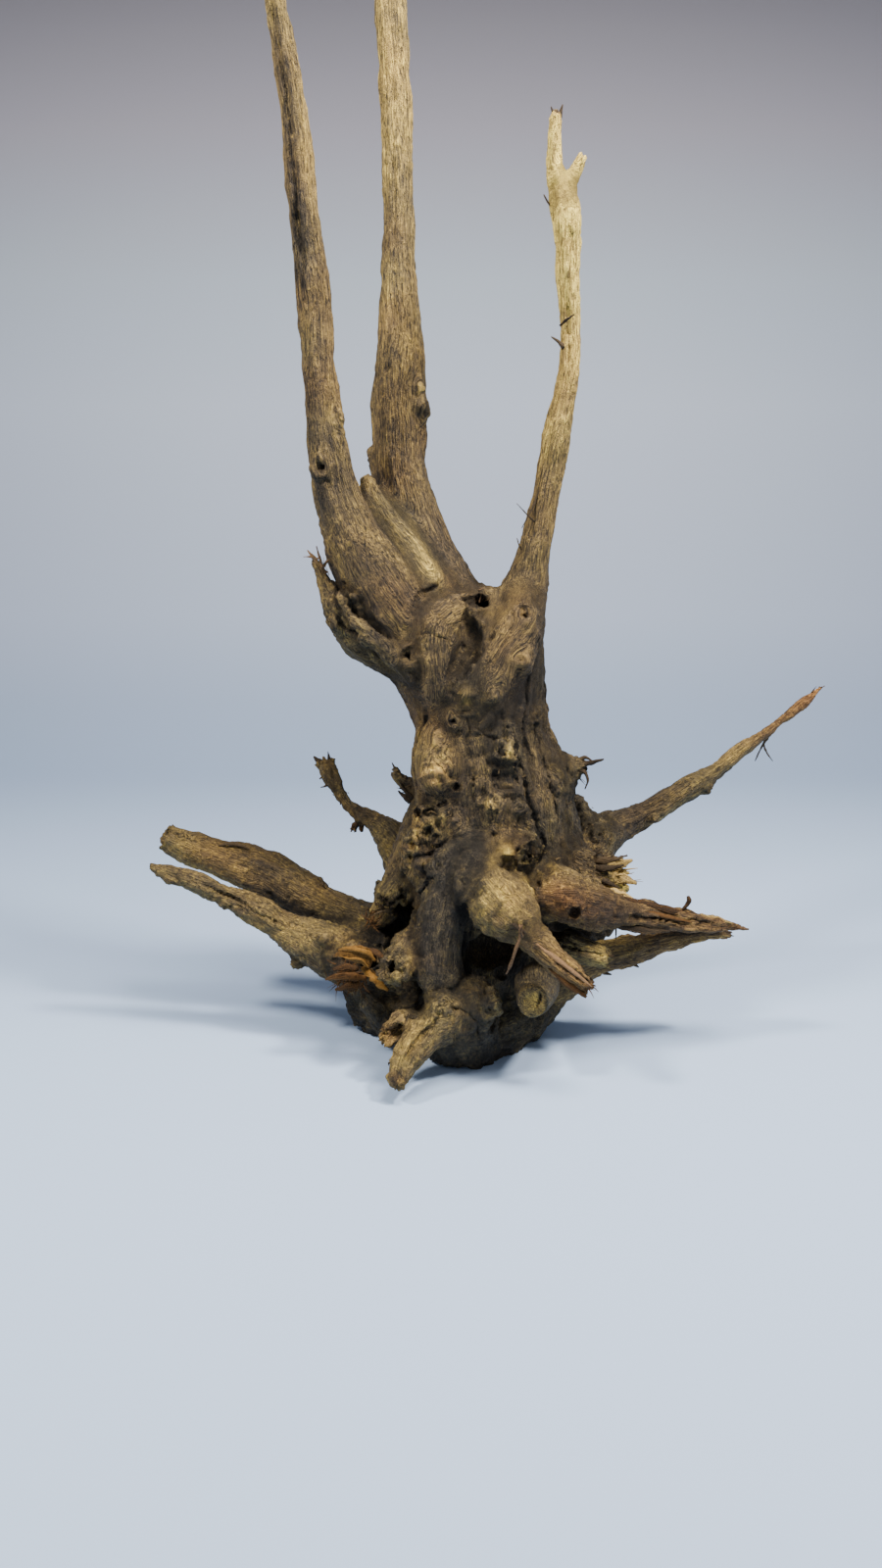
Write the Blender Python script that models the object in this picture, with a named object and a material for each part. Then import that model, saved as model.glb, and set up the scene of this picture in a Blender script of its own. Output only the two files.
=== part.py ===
"""A dry tree root that stands on its trimmed underside: trunk, three tall stems and a spray of roots.

The wood is one grown piece, so it is one solid. Every limb is a tapered curve. The limbs are joined
by a voxel remesh, which gives one skin, then hollowed where soil and rot left gaps and trimmed level
underneath. +Z is up and +Y points away from the side that shows most of the roots.
"""

import bmesh
import bpy
from mathutils import Matrix, Vector

NODE = "dry_root"
MM = 0.001

# Driving dimensions, in metres.
VOXEL = 0.0042
CURVE_STEPS = 6
RING_RESOLUTION = 3
SMOOTH_PASSES = 5
TRIANGLE_SHARE = 0.125
GROUND_TRIM_DEPTH = 0.05
GROUND_TRIM_SIZE = 0.8
# The trunk's axis stands here, so that the middle of the whole root's box is at X = Y = 0.
TRUNK_PLACE = Vector((-0.0215, -0.0225, 0.0))

# Limbs as waypoints (x, y, z, radius) in millimetres from the foot of the trunk's axis. A limb's
# first waypoint is its free end, and its last one lies inside the wood that carries it.
STEMS = {
    "left_stem": [
        (-148, -45, 813, 6.5), (-141, -42, 759, 8), (-132, -38, 699, 9), (-127, -34, 637, 11),
        (-121, -30, 572, 12), (-118, -28, 519, 13), (-113, -26, 467, 15), (-105, -24, 428, 18),
        (-91, -20, 392, 25), (-69, -15, 356, 31), (-42, -8, 316, 33), (-17, -2, 269, 32),
    ],
    "middle_stem": [
        (-71, 55, 883, 10), (-67, 50, 798, 12), (-64, 46, 728, 12), (-63, 42, 658, 12),
        (-62, 37, 585, 15), (-62, 34, 542, 19), (-62, 30, 494, 21), (-63, 26, 464, 21),
        (-58, 20, 432, 24), (-46, 12, 396, 26), (-31, 4, 358, 31), (-14, 0, 312, 36),
    ],
    "right_stem": [
        (51, -32, 694, 3.2), (50, -31, 672, 5.4), (51, -30, 658, 6), (56, -30, 643, 9.5),
        (62, -28, 588, 8.6), (64, -26, 555, 8), (64, -24, 523, 9), (59, -22, 493, 10),
        (49, -18, 432, 11), (43, -16, 401, 12), (38, -14, 374, 15), (30, -14, 348, 21),
        (22, -14, 317, 28), (14, -10, 274, 34),
    ],
    "stem_nub": [(70, -34, 664, 3.8), (63, -32, 651, 5), (57, -30, 640, 7)],
    "side_spur": [
        (-132, -30, 397, 3.6), (-124, -30, 384, 5), (-115, -30, 365, 7), (-107, -28, 347, 10),
        (-97, -24, 331, 13), (-81, -18, 318, 14), (-62, -12, 311, 15), (-39, -6, 298, 18),
    ],
    "spur_crest": [
        (-103, -38, 362, 5), (-95, -38, 350, 7), (-84, -38, 336, 8.5), (-72, -38, 323, 8.5),
        (-58, -34, 312, 10),
    ],
    "web": [(-61, 0, 432, 11), (-53, -10, 402, 13), (-42, -15, 378, 13), (-28, -18, 362, 12)],
}
TRUNK = {
    "trunk": [
        (-15, 0, 328, 39), (-2, 0, 289, 49), (2, 0, 261, 49), (8, 0, 221, 55), (10, 0, 184, 63),
        (8, 2, 143, 68), (0, 8, 90, 66), (-8, 12, 36, 60), (-12, 14, -4, 54),
    ],
    "saddle": [(8, -6, 352, 15), (4, -5, 336, 22), (0, -3, 310, 32)],
    "crown_fold": [
        (-2, -26, 352, 9), (-18, -32, 350, 15), (-31, -35, 338, 21), (-32, -34, 318, 22),
        (-28, -27, 292, 22),
    ],
    "crown_right": [
        (33, -21, 354, 15), (28, -30, 330, 20), (15, -33, 308, 23), (2, -28, 284, 24),
        (2, -12, 256, 28),
    ],
    "trunk_left_bulge": [
        (-24, -20, 262, 20), (-27, -22, 240, 25), (-24, -20, 212, 28), (-22, -14, 182, 28),
    ],
    "trunk_edge": [
        (38, -20, 338, 10), (41, -17, 300, 12), (43, -14, 262, 14), (51, -10, 228, 16),
        (60, -6, 196, 17), (68, 0, 166, 19),
    ],
    "trunk_spike": [(-68, -4, 222, 1.5), (-64, -4, 216, 4), (-57, -3, 209, 7), (-45, 0, 199, 12)],
    "trunk_stub": [(85, -5, 226, 5.5), (78, -5, 223, 10), (67, -3, 219, 16), (49, 0, 209, 25)],
    "left_shoulder": [
        (-78, -22, 106, 12), (-66, -20, 124, 16), (-50, -14, 150, 20), (-38, -8, 178, 24),
    ],
}
LEFT_ROOTS = {
    "left_back_root": [
        (-137, 82, 216, 4.5), (-127, 80, 199, 6), (-119, 76, 185, 6), (-111, 74, 175, 6.5),
        (-100, 70, 167, 8), (-87, 66, 160, 9.5), (-71, 60, 147, 15), (-57, 50, 128, 20),
        (-35, 30, 108, 29),
    ],
    "back_root_fork": [(-125, 80, 215, 2), (-126, 80, 205, 4), (-124, 79, 194, 5)],
    "back_root_nub": [(-106, 72, 154, 3), (-101, 72, 165, 5)],
    "left_root_upper": [
        (-265, 30, 158, 9.5), (-240, 28, 146, 14), (-208, 25, 134, 16), (-175, 20, 123, 17),
        (-147, 15, 109, 17), (-118, 10, 95, 18), (-85, 6, 83, 23), (-47, 0, 70, 30),
    ],
    "left_root_lower": [
        (-271, -12, 146, 3.8), (-256, -12, 138, 6.5), (-231, -12, 128, 7.5), (-198, -14, 115, 10),
        (-175, -16, 105, 12), (-158, -18, 94, 14), (-142, -20, 86, 18), (-121, -20, 75, 23),
        (-94, -18, 64, 27), (-62, -12, 49, 31),
    ],
    "left_root_knob": [(-147, -24, 64, 5), (-137, -22, 71, 7)],
    "root_block": [(-80, -4, 123, 5.5), (-73, -4, 113, 9)],
}
RIGHT_ROOTS = {
    "right_back_root": [
        (315, 114, 276, 3), (297, 110, 261, 4.6), (278, 105, 245, 4.6), (256, 100, 229, 5.3),
        (230, 95, 212, 7.2), (209, 90, 196, 8.6), (186, 85, 185, 9.3), (162, 80, 171, 11),
        (139, 75, 160, 13), (118, 68, 152, 17), (100, 55, 143, 23), (83, 40, 122, 32),
    ],
    "back_root_knob": [(89, 50, 177, 8.5), (94, 54, 165, 12), (102, 58, 151, 17)],
    "splinter_stub": [
        (116, -8, 132, 15), (107, -10, 133, 18), (89, -12, 136, 22), (66, -8, 140, 31),
    ],
    "right_bulb": [
        (112, -58, 119, 10), (99, -60, 122, 15), (84, -61, 127, 20), (68, -60, 131, 23.5),
        (52, -46, 134, 25), (40, -28, 136, 26),
    ],
    "right_red_root": [
        (210, -40, 101, 2.2), (198, -40, 101, 4.4), (180, -42, 104, 6.4), (160, -45, 108, 8.4),
        (138, -50, 113, 9.6), (116, -56, 117, 11.5), (92, -60, 121, 15),
    ],
    "right_low_root": [
        (204, -30, 91, 2.4), (189, -30, 92, 5.4), (172, -30, 89, 7.2), (150, -30, 84, 9.6),
        (128, -30, 78, 11.6), (108, -28, 73, 13), (88, -25, 66, 16), (60, -20, 52, 26),
    ],
    "pale_stub": [(99, -68, 86, 7), (84, -63, 89, 10), (60, -50, 93, 14)],
    "cut_stub": [(38, -108, 67, 11.5), (42, -94, 76, 13.5), (48, -66, 90, 18)],
}
FRONT_ROOTS = {
    "front_bulb": [
        (31, -100, 123, 14), (25, -95, 128, 21), (17, -86, 133, 26.5), (13, -72, 137, 26),
        (10, -50, 143, 26),
    ],
    "bulb_shoulder": [(-8, -74, 142, 14), (-4, -66, 152, 17), (2, -46, 164, 22)],
    "front_torn_root": [
        (79, -127, 86, 6), (66, -121, 94, 8), (53, -114, 103, 9.5), (40, -106, 113, 12),
        (28, -96, 122, 15),
    ],
    "front_ridge": [
        (-10, -42, 178, 16), (-20, -53, 152, 18), (-27, -64, 122, 19), (-32, -73, 94, 18),
        (-31, -79, 66, 20), (-24, -75, 40, 26), (-16, -63, 14, 29),
    ],
    "front_knee": [(-6, -84, 58, 17), (-12, -82, 44, 23), (-14, -70, 27, 26)],
    "front_foot": [
        (-60, -139, 17, 7), (-59, -135, 21, 9.5), (-55, -127, 28, 11.5), (-46, -117, 36, 14),
        (-35, -104, 44, 17), (-20, -86, 48, 22),
    ],
    "foot_stub": [(-64, -98, 40, 6), (-56, -94, 44, 9), (-44, -88, 50, 12)],
    "torn_stub": [(-106, -52, 72, 14), (-97, -42, 70, 17), (-83, -25, 68, 21)],
    "gnarled_stub": [
        (-70, -84, 80, 10), (-63, -78, 83, 16), (-54, -62, 86, 19), (-44, -44, 92, 22),
    ],
}
BASE = {
    "left_lobe": [(-97, -8, 46, 14), (-90, -8, 26, 20), (-62, -4, 14, 30), (-27, 5, 12, 36)],
    "right_lobe": [(-12, -56, 12, 26), (8, -42, 12, 28), (28, -22, 18, 30), (48, -8, 38, 30)],
    "right_wall": [(108, 8, 86, 10), (88, 8, 86, 20), (56, 8, 88, 34)],
    "left_skirt": [(-84, -38, 34, 12), (-66, -42, 20, 18), (-36, -40, 18, 28)],
    "back_root": [
        (34, 182, 10, 11), (37, 150, 36, 16), (33, 110, 66, 22), (20, 60, 84, 34),
        (5, 20, 84, 44),
    ],
    "back_stub": [(-62, 116, 58, 10), (-50, 92, 66, 15), (-34, 60, 74, 24), (-14, 25, 78, 34)],
    "rear_heel": [(6, 74, 12, 20), (2, 48, 20, 32), (-6, 20, 24, 42)],
    "rear_flute": [
        (6, 34, 330, 16), (14, 36, 280, 20), (20, 40, 220, 24), (16, 48, 150, 28),
        (10, 60, 90, 28),
    ],
}
# Gaps in the root mass as ellipsoids: centre and half sizes in millimetres.
HOLLOWS = {
    "front_cavity": ((12, -84, 88), (20, 30, 12)),
    "left_cavity": ((-50, -82, 60), (9, 24, 10)),
    "shoulder_cavity": ((-61, -44, 108), (8, 17, 9)),
}


def clear_scene():
    for obj in list(bpy.data.objects):
        bpy.data.objects.remove(obj)


def curve_mesh(name, waypoints):
    """A smooth tapered limb through its waypoints, round in section and capped at both ends."""
    curve = bpy.data.curves.new(name, "CURVE")
    curve.dimensions = "3D"
    curve.bevel_depth = MM
    curve.bevel_resolution = RING_RESOLUTION
    curve.use_fill_caps = True
    curve.resolution_u = CURVE_STEPS
    spline = curve.splines.new("BEZIER")
    spline.bezier_points.add(len(waypoints) - 1)
    for point, (x, y, z, radius) in zip(spline.bezier_points, waypoints):
        point.co = Vector((x, y, z)) * MM
        point.radius = radius
        point.handle_left_type = "AUTO"
        point.handle_right_type = "AUTO"
    obj = bpy.data.objects.new(name, curve)
    bpy.context.scene.collection.objects.link(obj)
    bpy.context.view_layer.update()
    graph = bpy.context.evaluated_depsgraph_get()
    mesh = bpy.data.meshes.new_from_object(obj.evaluated_get(graph))
    bpy.data.objects.remove(obj)
    return mesh


def joined_limbs(name, groups):
    """Every limb's shell in one mesh. The shells still cross one another."""
    shells = bmesh.new()
    for limbs in groups:
        for limb, waypoints in limbs.items():
            shells.from_mesh(curve_mesh(limb, waypoints))
    shells.transform(Matrix.Translation(TRUNK_PLACE))
    mesh = bpy.data.meshes.new(name)
    shells.to_mesh(mesh)
    shells.free()
    return mesh


def helper_object(name, mesh):
    """A cutter, which the Boolean modifiers use and a render leaves out."""
    obj = bpy.data.objects.new(name, mesh)
    obj.hide_render = True
    obj.display_type = "WIRE"
    bpy.context.scene.collection.objects.link(obj)
    return obj


def hollow_cutter():
    """One ellipsoid for each gap, made from a unit ball by stretching it."""
    balls = bmesh.new()
    for centre, half_sizes in HOLLOWS.values():
        stretch = Matrix.Diagonal(Vector(half_sizes) * MM).to_4x4()
        place = Matrix.Translation(Vector(centre) * MM + TRUNK_PLACE)
        bmesh.ops.create_icosphere(balls, subdivisions=2, radius=1.0, matrix=place @ stretch)
    mesh = bpy.data.meshes.new("hollows")
    balls.to_mesh(mesh)
    balls.free()
    return helper_object("hollows", mesh)


def ground_cutter():
    """A block whose top is the ground, so that the root's feet end in level faces at Z = 0."""
    block = bmesh.new()
    size = Matrix.Diagonal((GROUND_TRIM_SIZE, GROUND_TRIM_SIZE, GROUND_TRIM_DEPTH)).to_4x4()
    place = Matrix.Translation((0, 0, -GROUND_TRIM_DEPTH / 2))
    bmesh.ops.create_cube(block, size=1.0, matrix=place @ size)
    mesh = bpy.data.meshes.new("ground")
    block.to_mesh(mesh)
    block.free()
    return helper_object("ground", mesh)


def dry_wood():
    material = bpy.data.materials.new("dry_wood")
    material.use_nodes = True
    shader = material.node_tree.nodes["Principled BSDF"]
    shader.inputs["Base Color"].default_value = (0.16, 0.10, 0.05, 1.0)
    shader.inputs["Roughness"].default_value = 0.85
    shader.inputs["Metallic"].default_value = 0.0
    return material


def cut_away(root, cutter):
    boolean = root.modifiers.new(cutter.name, "BOOLEAN")
    boolean.operation = "DIFFERENCE"
    boolean.object = cutter


def make_root():
    groups = (STEMS, TRUNK, LEFT_ROOTS, RIGHT_ROOTS, FRONT_ROOTS, BASE)
    root = bpy.data.objects.new(NODE, joined_limbs(NODE, groups))
    bpy.context.scene.collection.objects.link(root)
    root.data.materials.append(dry_wood())
    remesh = root.modifiers.new("one_skin", "REMESH")
    remesh.mode = "VOXEL"
    remesh.voxel_size = VOXEL
    remesh.use_smooth_shade = True
    smooth = root.modifiers.new("grown_fillets", "SMOOTH")
    smooth.iterations = SMOOTH_PASSES
    decimate = root.modifiers.new("fewer_faces", "DECIMATE")
    decimate.ratio = TRIANGLE_SHARE
    cut_away(root, hollow_cutter())
    cut_away(root, ground_cutter())


clear_scene()
make_root()
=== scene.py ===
"""A weathered dry tree root, as a Blender add-on that is run as a script.

The wood is one grown piece. Its limbs are tapered tubes along smooth paths, joined into one distance
field, and the skin is drawn where that field is zero. The grain's direction follows the limbs, and
the furrows, streaks and flecks are all drawn along it.
"""

import functools
import itertools
import math

import bmesh
import bpy
import numpy as np
from bpy.props import FloatProperty, FloatVectorProperty, IntProperty, PointerProperty
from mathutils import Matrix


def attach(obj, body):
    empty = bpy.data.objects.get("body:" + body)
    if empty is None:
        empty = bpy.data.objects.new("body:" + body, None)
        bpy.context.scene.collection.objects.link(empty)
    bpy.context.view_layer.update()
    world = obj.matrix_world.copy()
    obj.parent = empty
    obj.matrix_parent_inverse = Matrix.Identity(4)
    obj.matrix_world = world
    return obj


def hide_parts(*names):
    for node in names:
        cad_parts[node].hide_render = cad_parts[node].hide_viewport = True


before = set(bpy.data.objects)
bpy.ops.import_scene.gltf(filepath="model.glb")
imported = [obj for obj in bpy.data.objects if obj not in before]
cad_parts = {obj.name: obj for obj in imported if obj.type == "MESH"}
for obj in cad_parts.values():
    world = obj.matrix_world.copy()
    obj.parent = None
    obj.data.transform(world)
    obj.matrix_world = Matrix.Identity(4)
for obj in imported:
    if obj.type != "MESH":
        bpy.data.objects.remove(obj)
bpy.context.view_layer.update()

bl_info = {
    "name": "Dry Root",
    "version": (1, 0, 0),
    "blender": (4, 5, 0),
    "location": "View3D > Sidebar > Dry Root",
    "description": "Builds a weathered dry tree root, its torn fibres and a plain studio",
    "category": "Add Mesh",
}

MM = 0.001
# The distance that the field holds far from the wood, and the room that it keeps round the wood.
FAR = 0.05
FIELD_ROOM = 0.012
# The foot of the wood is cut level this far above the floor, and loose fibres stay further off it.
FOOT_GAP = 0.0004
LOOSE_GAP = 0.002
# A limb's look fades out this far past its skin, and the run of its fibres sooner.
LOOK_REACH = 0.0035
FIBRE_REACH = 0.0016
# Fibres are 16 times as long as they are wide, so lengths along a limb count this much in their pattern.
FIBRE_SHARE = 0.06
# No skin is painted paler than this tone, because the lines of its fibres would be lost.
PALEST = 0.98
# The six entries that differ in a grain tensor, which is the same across its diagonal.
TENSOR_PARTS = ((0, 0), (1, 1), (2, 2), (0, 1), (0, 2), (1, 2))
# A loose body with fewer vertices than this is a crumb, which is taken away.
CRUMB_SIZE = 100
# How far the backdrop goes to the sides, to the front and up, in metres.
STUDIO_REACH = 4.0
# The trunk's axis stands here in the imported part's frame.
TRUNK_PLACE = np.array((-21.5, -22.5, 0.0))

# How a limb's wood looks: (tone at its free end, tone at its root, redness at its free end, redness at
# its root, depth of its furrows in mm, size of its lumps in mm, how clearly its fibres show). Tone runs
# from 0, dark and dirty, to 1, pale and bare.
LOOKS = {
    "left_stem": (0.72, 0.42, 0.10, 0.26, 0.7, 1.1, 0.8),
    "middle_stem": (0.82, 0.35, 0.00, 0.20, 0.6, 1.1, 0.9),
    "right_stem": (1.24, 0.20, 0.00, 0.20, 0.6, 1.0, 0.8),
    "spur": (0.50, 0.44, 0.14, 0.12, 0.9, 1.3, 0.7),
    "crown": (0.54, 0.46, 0.20, 0.14, 0.5, 1.5, 0.85),
    "trunk": (0.42, 0.36, 0.08, 0.05, 1.0, 2.8, 0.75),
    "web": (0.54, 0.48, 0.00, 0.06, 0.5, 0.8, 0.7),
    "splintered": (0.62, 0.38, 0.06, 0.04, 1.4, 3.0, 0.9),
    "root": (0.58, 0.45, 0.08, 0.04, 0.7, 2.4, 0.5),
    "yellow_root": (0.66, 0.36, 0.22, 0.00, 0.6, 1.8, 0.6),
    "red_root": (0.50, 0.44, 0.50, 0.30, 1.2, 1.8, 0.8),
    "torn_root": (0.60, 0.54, 0.35, 0.08, 0.9, 1.8, 0.7),
    "bulb": (0.58, 0.54, 0.12, 0.06, 0.5, 2.6, 0.35),
    "pale": (0.60, 0.46, 0.06, 0.00, 0.8, 2.2, 0.7),
    "cut": (0.40, 0.40, 0.00, 0.00, 0.3, 0.6, 0.6),
    "grey": (0.31, 0.29, 0.00, 0.00, 0.6, 2.4, 0.5),
    "dark": (0.38, 0.35, 0.00, 0.00, 0.6, 3.0, 0.4),
    "gnarl": (0.54, 0.48, 0.06, 0.02, 0.8, 5.0, 0.3),
}

# Limbs: (look, width of the fillet in mm, kind of end, waypoints). A waypoint is (x, y, z, radius) in
# mm from the foot of the trunk's axis. The first is the free end, and the last is inside the wood.
LIMBS = {
    "trunk": ("trunk", 10, "buried", [
        (-15, 0, 328, 39), (-2, 0, 289, 49), (2, 0, 261, 49), (8, 0, 221, 55), (10, 0, 184, 63),
        (8, 2, 143, 68), (0, 8, 90, 66), (-8, 12, 36, 60), (-12, 14, -4, 54)]),
    "saddle": ("crown", 10, "buried", [(8, -6, 352, 15), (4, -5, 336, 22), (0, -3, 310, 32)]),
    "left_stem": ("left_stem", 12, "sawn", [
        (-148, -45, 813, 6.5), (-141, -42, 759, 8), (-132, -38, 699, 9), (-127, -34, 637, 11),
        (-121, -30, 572, 12), (-118, -28, 519, 13), (-113, -26, 467, 15), (-105, -24, 428, 18),
        (-91, -20, 392, 25), (-69, -15, 356, 31), (-42, -8, 316, 33), (-17, -2, 269, 32)]),
    "middle_stem": ("middle_stem", 10, "sawn", [
        (-71, 55, 883, 10), (-67, 50, 798, 12), (-64, 46, 728, 12), (-63, 42, 658, 12),
        (-62, 37, 585, 15), (-62, 34, 542, 19), (-62, 30, 494, 21), (-63, 26, 464, 21),
        (-58, 20, 432, 24), (-46, 12, 396, 26), (-31, 4, 358, 31), (-14, 0, 312, 36)]),
    "right_stem": ("right_stem", 9, "frayed", [
        (51, -32, 694, 2.6), (50, -31, 672, 4.8), (51, -30, 658, 6), (56, -30, 643, 9.5),
        (62, -28, 588, 8.6), (64, -26, 555, 8), (64, -24, 523, 9), (59, -22, 493, 10),
        (49, -18, 432, 11), (43, -16, 401, 12), (38, -14, 374, 15), (30, -14, 348, 21),
        (22, -14, 317, 28), (14, -10, 274, 34)]),
    "stem_nub": ("right_stem", 5, "frayed", [(70, -34, 664, 3.4), (63, -32, 651, 5), (57, -30, 640, 7)]),
    "side_spur": ("spur", 4, "frayed", [
        (-127, -30, 391, 2.6), (-122, -30, 382, 4.2), (-116, -30, 368, 6.5), (-108, -28, 349, 10),
        (-98, -24, 332, 13), (-81, -18, 318, 14), (-62, -12, 311, 15), (-39, -6, 298, 18)]),
    "spur_crest": ("spur", 3, "buried", [
        (-103, -38, 362, 5), (-95, -38, 350, 7), (-84, -38, 336, 8.5), (-72, -38, 323, 8.5),
        (-58, -34, 312, 10)]),
    "web": ("web", 8, "buried", [
        (-86, 0, 446, 6), (-82, -3, 432, 10), (-70, -6, 414, 13), (-54, -10, 398, 13),
        (-42, -15, 378, 13), (-28, -18, 362, 12)]),
    "crown_fold": ("crown", 4, "buried", [
        (-4, -24, 354, 8), (-18, -30, 350, 13), (-31, -32, 338, 18), (-33, -31, 318, 20),
        (-30, -25, 292, 22)]),
    "crown_right": ("crown", 4, "buried", [
        (33, -21, 354, 15), (28, -30, 330, 20), (15, -33, 308, 23), (2, -28, 284, 24),
        (2, -12, 256, 28)]),
    "trunk_left_bulge": ("crown", 7, "buried", [
        (-24, -20, 262, 20), (-27, -22, 240, 25), (-24, -20, 212, 28), (-22, -14, 182, 28)]),
    "trunk_edge": ("trunk", 5, "buried", [
        (38, -20, 338, 10), (41, -17, 300, 12), (43, -14, 262, 14), (51, -10, 228, 16),
        (60, -6, 196, 17), (68, 0, 166, 19)]),
    "trunk_flute": ("trunk", 4, "buried", [
        (20, -40, 262, 9), (24, -42, 238, 12), (26, -42, 208, 13), (30, -44, 182, 13)]),
    "trunk_spike": ("root", 5, "frayed", [
        (-68, -4, 222, 1.8), (-64, -4, 216, 4), (-57, -3, 209, 7), (-45, 0, 199, 12)]),
    "trunk_stub": ("root", 8, "frayed", [
        (86, -5, 226, 6), (78, -5, 223, 10), (67, -3, 219, 16), (49, 0, 209, 25)]),
    "left_back_root": ("root", 8, "frayed", [
        (-135, 82, 213, 4.5), (-127, 80, 199, 6), (-119, 76, 185, 6), (-111, 74, 175, 6.5),
        (-100, 70, 167, 8), (-87, 66, 160, 9.5), (-71, 60, 147, 15), (-57, 50, 128, 20),
        (-35, 30, 108, 29)]),
    "back_root_fork": ("root", 3, "frayed", [(-125, 80, 215, 2), (-126, 80, 205, 4), (-124, 79, 194, 5)]),
    "back_root_nub": ("red_root", 4, "frayed", [(-107, 72, 152, 4), (-101, 72, 165, 5)]),
    "left_root_upper": ("root", 8, "broken", [
        (-263, 30, 157, 12), (-240, 28, 146, 14), (-208, 25, 134, 16), (-175, 20, 123, 17),
        (-147, 15, 109, 17), (-118, 10, 95, 18), (-85, 6, 83, 23), (-47, 0, 70, 30)]),
    "left_root_crest": ("root", 8, "buried", [
        (-230, 30, 146, 9), (-205, 30, 142, 10), (-175, 28, 132, 11), (-140, 24, 112, 12)]),
    "left_root_lower": ("root", 4, "spoon", [
        (-268, -12, 144, 3), (-256, -12, 138, 6.5), (-231, -12, 128, 7.5), (-198, -14, 115, 10),
        (-175, -16, 105, 12), (-158, -18, 94, 14), (-142, -20, 86, 18), (-121, -20, 75, 23),
        (-94, -18, 64, 27), (-62, -12, 49, 31)]),
    "left_root_knob": ("root", 4, "round", [(-147, -24, 64, 6), (-137, -22, 71, 7)]),
    "root_block": ("root", 3, "broken", [(-82, -6, 124, 6), (-70, -4, 111, 9)]),
    "right_back_root": ("yellow_root", 9, "frayed", [
        (313, 114, 274, 2.2), (297, 110, 261, 4.2), (278, 105, 245, 4.6), (256, 100, 229, 5.6),
        (230, 95, 212, 7.4), (209, 90, 196, 8.6), (186, 85, 185, 9.6), (162, 80, 171, 11),
        (139, 75, 160, 13), (118, 68, 152, 17), (100, 55, 143, 23), (83, 40, 122, 32)]),
    "back_root_knob": ("grey", 3, "round", [(88, 48, 181, 9), (93, 53, 168, 13), (102, 58, 151, 17)]),
    "splinter_stub": ("splintered", 8, "jagged", [
        (116, -8, 132, 15), (107, -10, 133, 18), (89, -12, 136, 22), (66, -8, 140, 31)]),
    "right_bulb": ("bulb", 5, "buried", [
        (112, -58, 119, 10), (99, -60, 122, 15), (84, -61, 127, 20), (68, -60, 131, 23.5),
        (52, -46, 134, 25), (40, -28, 136, 26)]),
    "right_red_root": ("red_root", 4, "frayed", [
        (210, -40, 101, 2.2), (198, -40, 101, 4.4), (180, -42, 104, 6.4), (160, -45, 108, 8.4),
        (138, -50, 113, 9.6), (116, -56, 117, 11.5), (92, -60, 121, 15)]),
    "right_low_root": ("torn_root", 7, "frayed", [
        (204, -30, 91, 2.4), (189, -30, 92, 5.4), (172, -30, 89, 7.2), (150, -30, 84, 9.6),
        (128, -30, 78, 11.6), (108, -28, 73, 13), (88, -25, 66, 16), (60, -20, 52, 26)]),
    "right_wall": ("dark", 8, "buried", [(108, 8, 86, 10), (88, 8, 86, 20), (56, 8, 88, 34)]),
    "pale_stub": ("pale", 4, "broken", [(99, -68, 86, 7), (84, -63, 89, 10), (60, -50, 93, 14)]),
    "cut_stub": ("cut", 4, "sawn", [(39, -109, 66, 11.5), (41, -96, 63, 13), (46, -66, 62, 18)]),
    "front_bulb": ("bulb", 8, "buried", [
        (31, -100, 123, 14), (25, -95, 128, 21), (17, -86, 133, 26.5), (13, -72, 137, 26),
        (10, -50, 143, 26)]),
    "bulb_shoulder": ("grey", 8, "buried", [(-8, -74, 142, 14), (-4, -66, 152, 17), (2, -46, 164, 22)]),
    "front_torn_root": ("torn_root", 5, "frayed", [
        (79, -127, 86, 6), (66, -121, 94, 8), (53, -114, 103, 9.5), (40, -106, 113, 12),
        (28, -96, 122, 15)]),
    "front_torn_prong": ("red_root", 3, "frayed", [(74, -125, 80, 3), (64, -119, 88, 5), (52, -112, 98, 6)]),
    "front_ridge": ("grey", 8, "buried", [
        (-10, -42, 178, 16), (-20, -53, 152, 18), (-27, -64, 122, 19), (-32, -73, 94, 18),
        (-31, -79, 66, 20), (-24, -75, 40, 26), (-16, -63, 14, 29)]),
    "front_knee": ("grey", 6, "buried", [(-6, -84, 58, 17), (-12, -82, 44, 23), (-14, -70, 27, 26)]),
    "front_ear": ("root", 3, "broken", [(9, -93, 68, 5), (5, -92, 56, 8), (-2, -86, 46, 11)]),
    "front_foot": ("root", 8, "buried", [
        (-60, -139, 17, 7), (-59, -135, 21, 9.5), (-55, -127, 28, 11.5), (-46, -117, 36, 14),
        (-35, -104, 44, 17), (-20, -86, 48, 22)]),
    "foot_stub": ("torn_root", 3, "jagged", [
        (-70, -110, 37, 7.5), (-63, -104, 41, 9.5), (-52, -96, 47, 12), (-40, -84, 52, 13)]),
    "torn_stub": ("dark", 6, "broken", [(-106, -52, 72, 14), (-97, -42, 70, 17), (-83, -25, 68, 21)]),
    "gnarled_stub": ("gnarl", 5, "buried", [
        (-70, -84, 80, 10), (-63, -78, 83, 16), (-54, -62, 86, 19), (-44, -44, 92, 22)]),
    "left_shoulder": ("root", 8, "buried", [
        (-78, -22, 106, 12), (-66, -20, 124, 16), (-50, -14, 150, 20), (-38, -8, 178, 24)]),
    "rough_crust": ("root", 4, "buried", [(-40, -38, 196, 9), (-44, -40, 172, 11), (-44, -42, 148, 12)]),
    "left_lobe": ("dark", 8, "buried", [
        (-97, -8, 46, 14), (-90, -8, 26, 20), (-62, -4, 14, 30), (-27, 5, 12, 36)]),
    "left_skirt": ("dark", 6, "buried", [(-84, -38, 34, 12), (-66, -42, 20, 18), (-36, -40, 18, 28)]),
    "right_lobe": ("dark", 8, "buried", [
        (-12, -56, 12, 26), (8, -42, 12, 28), (28, -22, 18, 30), (48, -8, 38, 30)]),
    "back_root": ("grey", 9, "broken", [
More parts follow.
